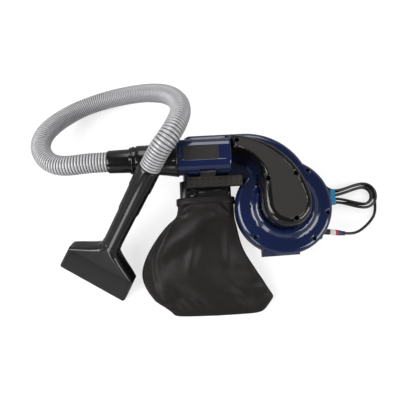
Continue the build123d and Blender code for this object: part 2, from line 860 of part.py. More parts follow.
with BuildPart() as nozzle_head:
    for distance, half_width, half_height, corner_r in nozzle_sections:
        with BuildSketch(nozzle_base.offset(distance)):
            RectangleRounded(2 * half_width, 2 * half_height, corner_r)
    loft(ruled=True)
    for distance, half_width, half_height, corner_r in nozzle_sections:
        with BuildSketch(nozzle_base.offset(distance)):
            RectangleRounded(
                2 * (half_width - nozzle_wall), 2 * (half_height - nozzle_wall), corner_r - nozzle_wall
            )
    loft(ruled=True, mode=Mode.SUBTRACT)
    slant = math.radians(nozzle_mouth_slant)
    with BuildSketch(nozzle_side):
        with BuildLine():
            Polyline(
                (nozzle_length, -nozzle_lip_height / 2),
                (nozzle_length - nozzle_width * math.cos(slant), nozzle_width * math.sin(slant)),
                (nozzle_length + nozzle_width, nozzle_width * math.sin(slant)),
                (nozzle_length + nozzle_width, -nozzle_lip_height / 2),
                close=True,
            )
        make_face()
    extrude(amount=nozzle_width, both=True, mode=Mode.SUBTRACT)
nozzle_head.part.label = "nozzle_head"
export_step(nozzle_head.part, "parts/nozzle_head.step")

# Comb strip under the nozzle's upper lip
lip_slope = math.atan2((nozzle_back_height - nozzle_lip_height) / 2, nozzle_length - nozzle_shoulder)
lip_normal = nozzle_up * math.cos(lip_slope) + nozzle_along * math.sin(lip_slope)
lip_depth = nozzle_lip_height / 2 - nozzle_wall
comb_plane = Plane(
    origin=nozzle_base.origin + nozzle_along * nozzle_length + nozzle_up * lip_depth,
    x_dir=nozzle_base.x_dir,
    z_dir=-lip_normal,
)
comb_pitch = 2 * comb_half_length / comb_teeth
with BuildPart() as nozzle_comb_strip:
    with BuildSketch(comb_plane):
        with Locations((0, -comb_root / 2)):
            Rectangle(2 * comb_half_length, comb_root)
        with Locations((0, comb_reach / 2)):
            with GridLocations(comb_pitch, 0, comb_teeth, 1):
                Rectangle(comb_pitch * comb_tooth_share, comb_reach)
    extrude(amount=comb_thickness)
nozzle_comb_strip.part.label = "nozzle_comb_strip"
export_step(nozzle_comb_strip.part, "parts/nozzle_comb_strip.step")

# Bag frame: a rounded tube plugged into the outlet, with flap, column, posts and the latch's ears
frame_mid_x = (frame_left_x + frame_right_x) / 2
frame_mid_z = (frame_low_z + frame_high_z) / 2
frame_width = frame_right_x - frame_left_x
frame_height = frame_high_z - frame_low_z
frame_plane = Plane(origin=(frame_mid_x, outlet_end_y, frame_mid_z), x_dir=(1, 0, 0), z_dir=(0, -1, 0))
window_mid_x = (outlet_left_x + frame_right_x) / 2
window_width = frame_right_x - outlet_left_x - 2 * wall
window_height = frame_height - 2 * frame_wall
latch_axis = Axis((0, latch_pivot_y, latch_pivot_z), (1, 0, 0))
pin_plane = Plane(origin=(0, latch_pivot_y, latch_pivot_z), x_dir=(0, 1, 0), z_dir=(1, 0, 0))
bore_size = (frame_width - 2 * frame_wall, frame_height - 2 * frame_wall)
bore_corner_r = frame_corner_r - frame_wall
flap_low_y = bag_top_y + band_thickness
mount_z = frame_high_z - mount_root
with BuildPart() as bag_frame:
    with BuildSketch(frame_plane):
        RectangleRounded(frame_width, frame_height, frame_corner_r)
    extrude(amount=outlet_end_y - frame_end_y)
    with BuildSketch(frame_plane):
        with Locations((window_mid_x - frame_mid_x, 0)):
            Rectangle(window_width - 2 * run_gap, window_height - 2 * run_gap)
    extrude(amount=-plug_in_depth)
    with BuildSketch(Plane.XY.offset(mount_z)):
        with Locations(((flap_left_x + flap_right_x) / 2, (flap_low_y + flap_high_y) / 2)):
            Rectangle(flap_right_x - flap_left_x, flap_high_y - flap_low_y)
    extrude(amount=mount_root + flap_thickness)
    with BuildSketch(Plane.XY.offset(mount_z)):
        with Locations(((column_left_x + column_right_x) / 2, (column_low_y + outlet_end_y) / 2)):
            Rectangle(column_right_x - column_left_x, outlet_end_y - column_low_y)
    extrude(amount=mount_root + column_height)
    with BuildSketch(Plane.XY.offset(mount_z)):
        with Locations(*[(x, post_y) for x in ear_xs]):
            Circle(post_r)
    extrude(amount=mount_root + post_height)
    for ear_x in ear_xs:
        with BuildSketch(Plane.YZ.offset(ear_x - ear_width / 2)):
            with Locations((latch_pivot_y, (mount_z + latch_pivot_z + ear_over) / 2)):
                Rectangle(2 * ear_half_depth, latch_pivot_z + ear_over - mount_z)
            fillet(vertices().group_by(Axis.Z)[-1], radius=ear_over / 2)
        extrude(amount=ear_width)
    with BuildSketch(frame_plane.offset(-plug_in_depth)):
        with Locations((window_mid_x - frame_mid_x, 0)):
            Rectangle(window_width - 2 * frame_wall, window_height - 2 * frame_wall)
    extrude(amount=plug_in_depth + frame_wall, mode=Mode.SUBTRACT)
    with BuildSketch(frame_plane.offset(frame_wall)):
        RectangleRounded(*bore_size, bore_corner_r)
    extrude(amount=outlet_end_y - frame_end_y - frame_wall, mode=Mode.SUBTRACT)
    with BuildSketch(pin_plane.offset(frame_left_x)):
        Circle(latch_pin_r + run_gap)
    extrude(amount=frame_width, mode=Mode.SUBTRACT)
bag_frame.part.label = "bag_frame"
export_step(bag_frame.part, "parts/bag_frame.step")

# Hinge pin through the ears
with BuildPart() as latch_pin:
    with BuildSketch(pin_plane.offset(min(ear_xs) - ear_width)):
        Circle(latch_pin_r)
    extrude(amount=max(ear_xs) - min(ear_xs) + 2 * ear_width)
latch_pin.part.label = "latch_pin"
export_step(latch_pin.part, "parts/latch_pin.step")

# Bag latch: a grip bar on the pin, and a tongue that hooks over the tube's catch
bar_mid_x = (bar_left_x + bar_right_x) / 2
bar_mid_y = (bar_low_y + bar_high_y) / 2
tongue_high_y = tube_low_y - tongue_gap
with BuildPart() as bag_latch:
    with BuildSketch(Plane.XY.offset(bar_low_z)):
        with Locations((bar_mid_x, bar_mid_y)):
            Rectangle(bar_right_x - bar_left_x, bar_high_y - bar_low_y)
    extrude(amount=bar_high_z - bar_low_z)
    chamfer(bag_latch.edges().group_by(Axis.Z)[-1], length=grip_depth)
    with Locations((tongue_mid_x, tongue_high_y - tongue_thickness / 2, (bar_low_z + tongue_top_z) / 2)):
        Box(tongue_right_x - tongue_left_x, tongue_thickness, tongue_top_z - bar_low_z)
    with Locations((tongue_mid_x, tongue_high_y, catch_z + catch_height / 2)):
        Box(
            2 * (catch_half_length + window_over),
            3 * tongue_thickness,
            catch_height + 3 * window_over,
            mode=Mode.SUBTRACT,
        )
    notch_high_z = latch_pivot_z + ear_over + 2 * side_gap
    with Locations(*[(x, bar_mid_y, (bar_low_z + notch_high_z) / 2) for x in ear_xs]):
        Box(ear_width + 2 * side_gap, 2 * bar_high_y, notch_high_z - bar_low_z, mode=Mode.SUBTRACT)
    with BuildSketch(pin_plane.offset(bar_left_x)):
        Circle(latch_pin_r + run_gap)
    extrude(amount=bar_right_x - bar_left_x, mode=Mode.SUBTRACT)
    with BuildSketch(Plane.XY.offset(bar_high_z)):
        with Locations((bar_mid_x, bar_mid_y + grip_dot_y)):
            with GridLocations(grip_pitch, 0, grip_marks, 1):
                Circle(grip_dot_r)
        with Locations((bar_mid_x, bar_mid_y - grip_dot_y)):
            with GridLocations(grip_pitch, 0, grip_marks, 1):
                SlotOverall(grip_pitch / 2, grip_dot_r)
    extrude(amount=-grip_depth / 2, mode=Mode.SUBTRACT)
bag_latch.part.label = "bag_latch"
export_step(bag_latch.part, "parts/bag_latch.step")


def bag_plane(limits):
    """Plane across the bag in the middle of one of its sections."""
    y, left, right, low, high = limits
    return Plane(origin=((left + right) / 2, y, (low + high) / 2), x_dir=(1, 0, 0), z_dir=(0, -1, 0))


def bag_size(limits, inset):
    """Width, height and corner radius of a section of the bag, drawn in by an inset."""
    width = limits[2] - limits[1] - 2 * inset
    height = limits[4] - limits[3] - 2 * inset
    return (width, height, height * bag_round)


# Dust bag: filled out on the table, with its neck pulled over the frame
with BuildPart() as dust_bag:
    for limits in bag_sections:
        with BuildSketch(bag_plane(limits)):
            RectangleRounded(*bag_size(limits, 0))
    loft(ruled=True)
    with BuildSketch(frame_plane.offset(outlet_end_y - frame_end_y)):
        RectangleRounded(*bore_size, bore_corner_r)
    for limits in bag_sections[2 : bag_hollow_end + 1]:
        with BuildSketch(bag_plane(limits)):
            RectangleRounded(*bag_size(limits, bag_cloth))
    loft(ruled=True, mode=Mode.SUBTRACT)
    with BuildSketch(frame_plane.offset(outlet_end_y - bag_top_y)):
        RectangleRounded(frame_width, frame_height, frame_corner_r)
    extrude(amount=bag_top_y - frame_end_y, mode=Mode.SUBTRACT)
dust_bag.part.label = "dust_bag"
export_step(dust_bag.part, "parts/dust_bag.step")

# Band that holds the bag's neck on the frame
neck_width, neck_height, neck_corner_r = bag_size(bag_sections[0], 0)
with BuildPart() as bag_neck_band:
    with BuildSketch(bag_plane(bag_sections[0])):
        RectangleRounded(
            neck_width + 2 * band_thickness, neck_height + 2 * band_thickness, neck_corner_r + band_thickness
        )
        RectangleRounded(neck_width, neck_height, neck_corner_r, mode=Mode.SUBTRACT)
    extrude(amount=band_width)
bag_neck_band.part.label = "bag_neck_band"
export_step(bag_neck_band.part, "parts/bag_neck_band.step")

# Motor cover: a drum on the table with a side lobe for switch and cord, open to the fan housing
lobe_plane = Plane.XY.rotated((0, 0, lobe_angle))
lobe_mid_q = (lobe_low_q + lobe_high_q) / 2
lobe_width = lobe_high_q - lobe_low_q
inner_q = lobe_high_q - motor_cover_wall
switch_plane = Plane(
    origin=lobe_plane.from_local_coords(Vector(switch_p, inner_q, switch_z)),
    x_dir=lobe_plane.x_dir,
    z_dir=lobe_plane.y_dir,
)
relief_plane = Plane(
    origin=lobe_plane.from_local_coords(Vector(lobe_end, relief_q, relief_z)),
    x_dir=lobe_plane.y_dir,
    z_dir=lobe_plane.x_dir,
)
seat_rib_r = (stator_r + cover_r) / 2 - motor_cover_wall
motor_screw_points = [on_circle(motor_screw_pitch_r, angle) for angle in motor_screw_angles]
with BuildPart() as motor_cover:
    with BuildSketch(Plane.XY):
        Circle(cover_r)
    extrude(amount=rear_z)
    fillet(motor_cover.edges().group_by(Axis.Z)[0], radius=cover_edge_r)
    with BuildSketch(lobe_plane.offset(lobe_low_z)):
        with Locations((lobe_end / 2, lobe_mid_q)):
            RectangleRounded(lobe_end, lobe_width, cover_edge_r)
    extrude(amount=rear_z - lobe_low_z)
    with BuildSketch(Plane.XY.offset(motor_floor)):
        Circle(cover_r - motor_cover_wall)
    extrude(amount=rear_z - motor_floor, mode=Mode.SUBTRACT)
    with BuildSketch(lobe_plane.offset(lobe_low_z + motor_floor)):
        with Locations((lobe_end / 2, lobe_mid_q)):
            Rectangle(lobe_end - 2 * motor_cover_wall, lobe_width - 2 * motor_cover_wall)
    extrude(amount=rear_z - lobe_low_z - 2 * motor_floor, mode=Mode.SUBTRACT)
    with BuildSketch(Plane.XY.offset(motor_floor)):
        Circle(bearing_r + bearing_wall)
    extrude(amount=rear_bearing_z + bearing_h - motor_floor)
    with BuildSketch(Plane.XY.offset(rear_bearing_z)):
        Circle(bearing_r)
    extrude(amount=bearing_h, mode=Mode.SUBTRACT)
    with BuildSketch(Plane.XY.offset(motor_floor)):
        with Locations(*motor_screw_points):
            Circle(motor_pillar_r)
    extrude(amount=rear_z - motor_floor)
    with BuildSketch(Plane.XY.offset(motor_floor)):
        with PolarLocations(seat_rib_r, seat_ribs, start_angle=seat_rib_angle):
            Rectangle(cover_r - stator_r + motor_cover_wall, seat_rib_width)
    extrude(amount=stator_low_z - motor_floor)
    with BuildSketch(Plane.XY.offset(motor_floor)):
        with PolarLocations(holder_reach - holder_size / 2, 2, start_angle=90):
            Rectangle(holder_size, holder_size)
    extrude(amount=brush_z - holder_size / 2 - motor_floor)
    with BuildSketch(Plane.XY):
        with PolarLocations((vent_inner_r + vent_outer_r) / 2, vent_slots, start_angle=180 / vent_slots):
            SlotOverall(vent_outer_r - vent_inner_r, vent_width)
    extrude(amount=motor_floor, mode=Mode.SUBTRACT)
    with BuildSketch(Plane.XY):
        with Locations(*motor_screw_points):
            Circle(screw_head_r + side_gap)
    extrude(amount=motor_screw_seat_z, mode=Mode.SUBTRACT)
    with BuildSketch(Plane.XY.offset(motor_screw_seat_z)):
        with Locations(*motor_screw_points):
            Circle(screw_r + 2 * run_gap)
    extrude(amount=rear_z - motor_screw_seat_z, mode=Mode.SUBTRACT)
    with BuildSketch(switch_plane):
        Rectangle(rocker_width + 2 * rocker_play, rocker_height + 4 * side_gap)
    extrude(amount=motor_cover_wall, mode=Mode.SUBTRACT)
    with BuildSketch(relief_plane):
        Circle(relief_neck_r + run_gap)
    extrude(amount=-motor_cover_wall, mode=Mode.SUBTRACT)
motor_cover.part.label = "motor_cover"
export_step(motor_cover.part, "parts/motor_cover.step")

# The two bearings
for bearing_name, bearing_z in (("rear_bearing", rear_bearing_z), ("front_bearing", front_bearing_z)):
    with BuildPart() as bearing:
        with BuildSketch(Plane.XY.offset(bearing_z)):
            Circle(bearing_r)
            Circle(shaft_r + run_gap, mode=Mode.SUBTRACT)
        extrude(amount=bearing_h)
    bearing.part.label = bearing_name
    export_step(bearing.part, f"parts/{bearing_name}.step")

# Motor shaft, from the rear bearing to the impeller's nut
hub_top_z = impeller_low_z + hub_height
shaft_low_z = rear_bearing_z + side_gap
with BuildPart() as shaft:
    with BuildSketch(Plane.XY.offset(shaft_low_z)):
        Circle(shaft_r)
    extrude(amount=hub_top_z + nut_h + shaft_tip - shaft_low_z)
    chamfer(shaft.edges().group_by(Axis.Z)[-1], length=shaft_r / 4)
shaft.part.label = "shaft"
export_step(shaft.part, "parts/shaft.step")

# Slotted armature core
with BuildPart() as armature:
    with BuildSketch(Plane.XY.offset(stator_low_z)):
        Circle(armature_r)
        Circle(shaft_r, mode=Mode.SUBTRACT)
        with PolarLocations(armature_r, slot_count):
            SlotOverall(2 * slot_depth, slot_width, mode=Mode.SUBTRACT)
    extrude(amount=stator_high_z - stator_low_z)
armature.part.label = "armature"
export_step(armature.part, "parts/armature.step")

# Commutator, with the grooves between its bars
with BuildPart() as commutator:
    with BuildSketch(Plane.XY.offset(commutator_low_z)):
        Circle(commutator_r)
        Circle(shaft_r, mode=Mode.SUBTRACT)
        with PolarLocations(commutator_r, 2 * slot_count):
            Rectangle(commutator_groove, commutator_groove, mode=Mode.SUBTRACT)
    extrude(amount=commutator_h)
commutator.part.label = "commutator"
export_step(commutator.part, "parts/commutator.step")

# Stator core with its two coil windows
with BuildPart() as stator:
    with BuildSketch(Plane.XY.offset(stator_low_z)):
        Circle(stator_r)
        Circle(armature_r + air_gap, mode=Mode.SUBTRACT)
        with BuildLine():
            inner_arc = CenterArc((0, 0), coil_inner_r - side_gap, -coil_span / 2, coil_span)
            outer_arc = CenterArc((0, 0), coil_outer_r + side_gap, -coil_span / 2, coil_span)
            Line(inner_arc @ 0, outer_arc @ 0)
            Line(inner_arc @ 1, outer_arc @ 1)
        make_face(mode=Mode.SUBTRACT)
        mirror(about=Plane.YZ, mode=Mode.INTERSECT)
    extrude(amount=stator_high_z - stator_low_z)
stator.part.label = "stator"
export_step(stator.part, "parts/stator.step")

# Two field windings in the stator's windows
coil_half = coil_span / 2 - coil_side
with BuildPart() as field_windings:
    with BuildSketch(Plane.XY.offset(stator_low_z - coil_overhang)):
        with BuildLine():
            inner_arc = CenterArc((0, 0), coil_inner_r, -coil_half, 2 * coil_half)
            outer_arc = CenterArc((0, 0), coil_outer_r, -coil_half, 2 * coil_half)
            Line(inner_arc @ 0, outer_arc @ 0)
            Line(inner_arc @ 1, outer_arc @ 1)
        make_face()
        mirror(about=Plane.YZ)
    extrude(amount=stator_high_z - stator_low_z + 2 * coil_overhang)
field_windings.part.label = "field_windings"
export_step(field_windings.part, "parts/field_windings.step")

# Brush holders on both sides of the commutator, and the carbon brushes that slide in them
with BuildPart() as brush_holders:
    with BuildSketch(Plane.XY.offset(brush_z - holder_size / 2)):
        with PolarLocations((holder_inner_r + holder_reach) / 2, 2, start_angle=90):
            Rectangle(holder_reach - holder_inner_r, holder_size)
    extrude(amount=holder_size)
    with BuildSketch(Plane.XY.offset(brush_z - brush_size / 2 - run_gap)):
        with PolarLocations((holder_inner_r + holder_reach) / 2, 2, start_angle=90):
            Rectangle(holder_reach - holder_inner_r, brush_size + 2 * run_gap)
    extrude(amount=brush_size + 2 * run_gap, mode=Mode.SUBTRACT)
brush_holders.part.label = "brush_holders"
export_step(brush_holders.part, "parts/brush_holders.step")

brush_inner_r = commutator_r + brush_gap
with BuildPart() as carbon_brushes:
    with BuildSketch(Plane.XY.offset(brush_z - brush_size / 2)):
        with PolarLocations(brush_inner_r + brush_length / 2, 2, start_angle=90):
            Rectangle(brush_length, brush_size)
    extrude(amount=brush_size)
carbon_brushes.part.label = "carbon_brushes"
export_step(carbon_brushes.part, "parts/carbon_brushes.step")

# Cooling fan under the housing's rear wall
with BuildPart() as cooling_fan:
    with BuildSketch(Plane.XY.offset(cooling_fan_z)):
        Circle(cooling_fan_r)
        Circle(shaft_r, mode=Mode.SUBTRACT)
    extrude(amount=cooling_fan_h / 3)
    with BuildSketch(Plane.XY.offset(cooling_fan_z)):
        Circle(hub_r)
        Circle(shaft_r, mode=Mode.SUBTRACT)
        with PolarLocations((hub_r + cooling_fan_r) / 2, slot_count):
            Rectangle(cooling_fan_r - hub_r - vane_tip_gap, vane_thickness)
    extrude(amount=cooling_fan_h)
cooling_fan.part.label = "cooling_fan"
export_step(cooling_fan.part, "parts/cooling_fan.step")

# Impeller: back plate, hub, curved vanes and front shroud
vane_height = impeller_high_z - impeller_low_z - impeller_plate
with BuildPart() as impeller:
    with BuildSketch(Plane.XY.offset(impeller_low_z)):
        Circle(impeller_r)
    extrude(amount=impeller_plate)
    with BuildSketch(Plane.XY.offset(impeller_low_z)):
        Circle(hub_r)
    extrude(amount=hub_height)
    with BuildSketch(Plane.XY.offset(impeller_low_z)):
        with BuildLine():
            for vane in range(impeller_vanes):
                turn = vane * 360 / impeller_vanes
                ThreePointArc(
                    on_circle(vane_root_r, turn),
                    on_circle((vane_root_r + impeller_r) / 2, turn - vane_sweep / 3),
                    on_circle(impeller_r - vane_thickness, turn - vane_sweep),
                )
        trace(line_width=vane_thickness)
    extrude(amount=impeller_high_z - impeller_low_z)
    with BuildSketch(Plane.XY.offset(impeller_high_z - impeller_plate)):
        Circle(impeller_r)
        Circle(eye_r, mode=Mode.SUBTRACT)
    extrude(amount=impeller_plate)
    with Locations((0, 0, impeller_high_z)):
        Hole(shaft_r)
impeller.part.label = "impeller"
export_step(impeller.part, "parts/impeller.step")

with BuildPart() as impeller_nut:
    with BuildSketch(Plane.XY.offset(hub_top_z)):
        RegularPolygon(nut_r, 6)
        Circle(shaft_r, mode=Mode.SUBTRACT)
    extrude(amount=nut_h)
impeller_nut.part.label = "impeller_nut"
export_step(impeller_nut.part, "parts/impeller_nut.step")

# Switch body behind the lobe's window, with two cheeks that carry the rocker's trunnions
trunnion_plane = Plane(
    origin=switch_plane.origin - switch_plane.z_dir * rocker_pivot_depth,
    x_dir=switch_plane.x_dir,
    z_dir=(0, 0, 1),
)
trunnion_half = rocker_height / 2 + trunnion_length
with BuildPart() as switch_body:
    with BuildSketch(switch_plane):
        Rectangle(switch_width + 2 * rocker_play, switch_height)
    extrude(amount=-switch_depth)
    with BuildSketch(switch_plane):
        Rectangle(rocker_width + 2 * rocker_play, rocker_height + 4 * side_gap)
    extrude(amount=-(rocker_thickness + rocker_play), mode=Mode.SUBTRACT)
    with BuildSketch(trunnion_plane.offset(-trunnion_half - side_gap)):
        Circle(trunnion_r + run_gap)
    extrude(amount=2 * (trunnion_half + side_gap), mode=Mode.SUBTRACT)
switch_body.part.label = "switch_body"
export_step(switch_body.part, "parts/switch_body.step")

rocker_plane = trunnion_plane.rotated((0, 0, -rocker_tilt))
with BuildPart() as rocker_button:
    with BuildSketch(rocker_plane.offset(-rocker_height / 2)):
        with Locations((0, rocker_pivot_depth + motor_cover_wall + rocker_proud - rocker_thickness / 2)):
            RectangleRounded(rocker_width, rocker_thickness, rocker_edge_r)
    extrude(amount=rocker_height)
    with BuildSketch(rocker_plane.offset(-trunnion_half)):
        Circle(trunnion_r)
    extrude(amount=2 * trunnion_half)
rocker_button.part.label = "rocker_button"
export_step(rocker_button.part, "parts/rocker_button.step")

# Strain relief on the lobe's end, with a blank sleeve round it
relief_slope = (relief_base_r - relief_tip_r) / (relief_length - relief_flange_h)
band_start_r = relief_base_r - relief_slope * (sleeve_band_start - relief_flange_h)
band_end_r = band_start_r - relief_slope * sleeve_band_length
with BuildPart() as strain_relief:
    with BuildSketch(relief_plane.offset(-motor_cover_wall)):
        Circle(relief_neck_r)
    extrude(amount=motor_cover_wall)
    with BuildSketch(relief_plane):
        Circle(relief_flange_r)
    extrude(amount=relief_flange_h)
    with BuildSketch(relief_plane.offset(relief_flange_h)):
        Circle(relief_base_r)
    with BuildSketch(relief_plane.offset(relief_length)):
        Circle(relief_tip_r)
    loft(ruled=True)
    with BuildSketch(relief_plane.offset(relief_length)):
        Circle(cord_r + run_gap)
    extrude(amount=-cord_hold, mode=Mode.SUBTRACT)
strain_relief.part.label = "strain_relief"
export_step(strain_relief.part, "parts/strain_relief.step")

with BuildPart() as cord_band:
    with BuildSketch(relief_plane.offset(sleeve_band_start)):
        Circle(band_start_r + sleeve_band_thickness)
    with BuildSketch(relief_plane.offset(sleeve_band_start + sleeve_band_length)):
        Circle(band_end_r + sleeve_band_thickness)
    loft(ruled=True)
    with BuildSketch(relief_plane.offset(sleeve_band_start)):
        Circle(band_start_r)
    with BuildSketch(relief_plane.offset(sleeve_band_start + sleeve_band_length)):
        Circle(band_end_r)
    loft(ruled=True, mode=Mode.SUBTRACT)
cord_band.part.label = "cord_band"
export_step(cord_band.part, "parts/cord_band.step")

# Power cord: the free lead from the strain relief down to the table and round to the hank
relief_tip = relief_plane.origin + relief_plane.z_dir * relief_length
hank_start = Vector(hank_centre[0] + hank_right + right_lobe_r, hank_centre[1], hank_low_z)
cord_route = [
    relief_tip - relief_plane.z_dir * cord_hold,
    relief_tip + relief_plane.z_dir * cord_hold,
    Vector(172, -54, 34),
    Vector(194, -43, 18),
    Vector(213, -29, 7),
    Vector(225, -14, 4.8),
    Vector(hank_start.X, 8, hank_low_z),
    hank_start,
]
cord_radii = corner_radii(cord_route)
cord_area = math.pi * cord_r**2
with BuildPart() as power_cord:
    with BuildLine() as lead_path:
        FilletPolyline(*cord_route, radius=cord_radii)
    with BuildSketch(Plane(origin=cord_route[0], z_dir=relief_plane.z_dir)):
        Circle(cord_r)
    sweep(path=lead_path.wire())
power_cord.part.label = "power_cord"
export_step(power_cord.part, "parts/power_cord.step")
report_tube("power_cord", power_cord.part, cord_area, lead_path.wire().length, cord_radii)

# Hank: two layers of loops, waisted where the tie holds them, laid as one run of tangent arcs
hank_high_z = hank_low_z + layer_step
inner_right_r = right_lobe_r - waist_step
inner_left_r = left_lobe_r - waist_step
outer_waist = cord_r + cord_r * waist_share + waist_step
inner_waist = outer_waist - waist_step


def in_hank(x, y, z):
    """Point of the hank, measured from its middle."""
    return Vector(hank_centre[0] + x, hank_centre[1] + y, z)


hank_rounds = (
    (outer_waist, left_lobe_r, left_lobe_r, outer_waist, inner_right_r, hank_low_z, hank_low_z),
    (inner_waist, inner_left_r, inner_left_r, inner_waist, inner_right_r, hank_low_z, hank_high_z),
    (inner_waist, inner_left_r, left_lobe_r, outer_waist, right_lobe_r, hank_high_z, hank_high_z),
)
plug_start = in_hank(-plug_run, plug_side, plug_z)
hank_stops = []
for waist_up, left_up, left_down, waist_down, right_down, low, after in hank_rounds:
    hank_stops += [
        ("run", in_hank(0, waist_up, low)),
        ("run", in_hank(-hank_left, left_up, low)),
        ("lobe", in_hank(-hank_left, -left_down, low)),
        ("run", in_hank(0, -waist_down, after)),
        ("run", in_hank(hank_right, -right_down, after)),
        ("lobe", in_hank(hank_right, right_down, after)),
    ]
hank_stops += [("run", in_hank(0, outer_waist, hank_high_z)), ("run", plug_start)]

with BuildPart() as cord_hank:
    with BuildLine() as hank_path:
        at = in_hank(hank_right, right_lobe_r, hank_low_z)
        TangentArc(hank_start, at, tangent=(0, 1, 0))
        way = Vector(-1, 0, 0)
        for kind, stop in hank_stops:
            if kind == "run":
                middle = (at + stop) / 2
                first_half = TangentArc(at, middle, tangent=way)
                TangentArc(middle, stop, tangent=first_half % 1)
            else:
                TangentArc(at, stop, tangent=way)
                way = -way
            at = stop
    hank_wire = hank_path.wire()
    with BuildSketch(Plane(origin=hank_start, z_dir=(0, 1, 0))):
        Circle(cord_r)
    sweep(path=hank_wire)
cord_hank.part.label = "cord_hank"
export_step(cord_hank.part, "parts/cord_hank.step")
report_tube("cord_hank", cord_hank.part, cord_area, hank_wire.length, [])
hank_samples = round(hank_wire.length / cord_r)
hank_points = [hank_wire @ (step / hank_samples) for step in range(hank_samples + 1)]
apart = math.ceil(math.pi * inner_left_r / cord_r / 2)
closest = min(
    (one - other).length
    for place, one in enumerate(hank_points)
    for other in hank_points[place + apart :]
)
print(f"cord_hank: closest distance between its runs {closest - 2 * cord_r:.2f} mm")

# Tie round the hank's waist
tie_half = outer_waist + cord_r + tie_slack
tie_height = hank_high_z - hank_low_z + 2 * cord_r + tie_play
with BuildPart() as cord_tie:
    with BuildSketch(Plane.YZ.offset(hank_centre[0] - tie_width / 2)):
        with Locations((hank_centre[1], (hank_low_z + hank_high_z) / 2)):
            RectangleRounded(2 * (tie_half + tie_thickness), tie_height + 2 * tie_thickness, tie_corner_r)
            RectangleRounded(2 * tie_half, tie_height, tie_corner_r - tie_thickness, mode=Mode.SUBTRACT)
    extrude(amount=tie_width)
cord_tie.part.label = "cord_tie"
export_step(cord_tie.part, "parts/cord_tie.step")

# Plug at the cord's end, with two round pins
plug_plane = Plane(origin=plug_start, x_dir=(0, 1, 0), z_dir=(-1, 0, 0))
with BuildPart() as power_plug:
    with BuildSketch(plug_plane):
        Circle(plug_neck_r)
    with BuildSketch(plug_plane.offset(plug_taper)):
        Circle(plug_r)
    loft(ruled=True)
    with BuildSketch(plug_plane.offset(plug_taper)):
        Circle(plug_r)
    extrude(amount=plug_body)
power_plug.part.label = "power_plug"
export_step(power_plug.part, "parts/power_plug.step")

with BuildPart() as plug_pins:
    with BuildSketch(plug_plane.offset(plug_taper + plug_body)):
        with GridLocations(pin_spacing, 0, 2, 1):
            Circle(pin_r)
    extrude(amount=pin_length)
    fillet(plug_pins.faces().group_by(Axis.X)[0].edges(), radius=pin_r / 2)
plug_pins.part.label = "plug_pins"
export_step(plug_pins.part, "parts/plug_pins.step")

# Screws: five through the scroll's halves, four in the duct cover and four in the motor cover
screw_groups = (
    ("housing_screws", screw_points, front_z - screw_seat_depth, -1, screw_length),
    ("cover_screws", cover_screw_points, cover_screw_seat_z, -1, cover_screw_length),
    ("motor_screws", motor_screw_points, motor_screw_seat_z, 1, rear_z + wall - run_gap - motor_screw_seat_z),
)
for group_name, points, seat_z, way_z, shank_length in screw_groups:
    with BuildPart() as screws:
        with BuildSketch(Plane.XY.offset(seat_z)):
            with Locations(*points):
                Circle(screw_r)
        extrude(amount=way_z * shank_length)
        with BuildSketch(Plane.XY.offset(seat_z)):
            with Locations(*points):
                Circle(screw_head_r)
        extrude(amount=-way_z * screw_head_h)
        with BuildSketch(Plane.XY.offset(seat_z - way_z * screw_head_h)):
            with Locations(*points):
                Rectangle(screw_head_r, screw_slot)
                Rectangle(screw_slot, screw_head_r)
        extrude(amount=way_z * screw_head_h / 2, mode=Mode.SUBTRACT)
    screws.part.label = group_name
    export_step(screws.part, f"parts/{group_name}.step")
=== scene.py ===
import math

import bpy
from mathutils import Matrix, Vector


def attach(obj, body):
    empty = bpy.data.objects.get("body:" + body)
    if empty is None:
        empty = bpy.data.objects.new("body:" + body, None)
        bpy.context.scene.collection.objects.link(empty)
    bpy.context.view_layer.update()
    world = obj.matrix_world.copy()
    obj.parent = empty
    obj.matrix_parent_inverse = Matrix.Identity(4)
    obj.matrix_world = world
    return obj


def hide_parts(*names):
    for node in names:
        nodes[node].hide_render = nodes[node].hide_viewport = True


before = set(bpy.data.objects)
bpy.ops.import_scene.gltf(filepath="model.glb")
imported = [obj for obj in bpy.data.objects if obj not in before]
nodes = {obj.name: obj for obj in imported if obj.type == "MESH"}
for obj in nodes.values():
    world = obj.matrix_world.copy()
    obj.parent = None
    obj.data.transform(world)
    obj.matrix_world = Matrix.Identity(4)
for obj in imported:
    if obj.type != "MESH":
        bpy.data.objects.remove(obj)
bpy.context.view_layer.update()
bpy.ops.object.select_all(action="DESELECT")


# Fan housing: two scroll halves and the square inlet tube on top of them, injection moulded in glossy
# navy plastic and drawn together by five screws that sit deep in round wells.
def plug_in(tree, socket, term):
    """Links a value to a socket, or sets a plain number or colour on it."""
    if isinstance(term, Value):
        tree.links.new(term.socket, socket)
    else:
        socket.default_value = term


class Value:
    """What a shader socket gives. Sums, products and comparisons of values add their Math nodes."""

    def __init__(self, tree, socket):
        self.tree = tree
        self.socket = socket

    def worked(self, operation, *terms):
        node = self.tree.nodes.new("ShaderNodeMath")
        node.operation = operation
        for socket, term in zip(node.inputs, terms):
            plug_in(self.tree, socket, term)
        return Value(self.tree, node.outputs[0])

    def __add__(self, other):
        return self.worked("ADD", self, other)

    def __radd__(self, other):
        return self.worked("ADD", other, self)

    def __sub__(self, other):
        return self.worked("SUBTRACT", self, other)

    def __rsub__(self, other):
        return self.worked("SUBTRACT", other, self)

    def __mul__(self, other):
        return self.worked("MULTIPLY", self, other)

    def __rmul__(self, other):
        return self.worked("MULTIPLY", other, self)

    def __lt__(self, other):
        return self.worked("LESS_THAN", self, other)

    def __gt__(self, other):
        return self.worked("GREATER_THAN", self, other)

    def __abs__(self):
        return self.worked("ABSOLUTE", self)


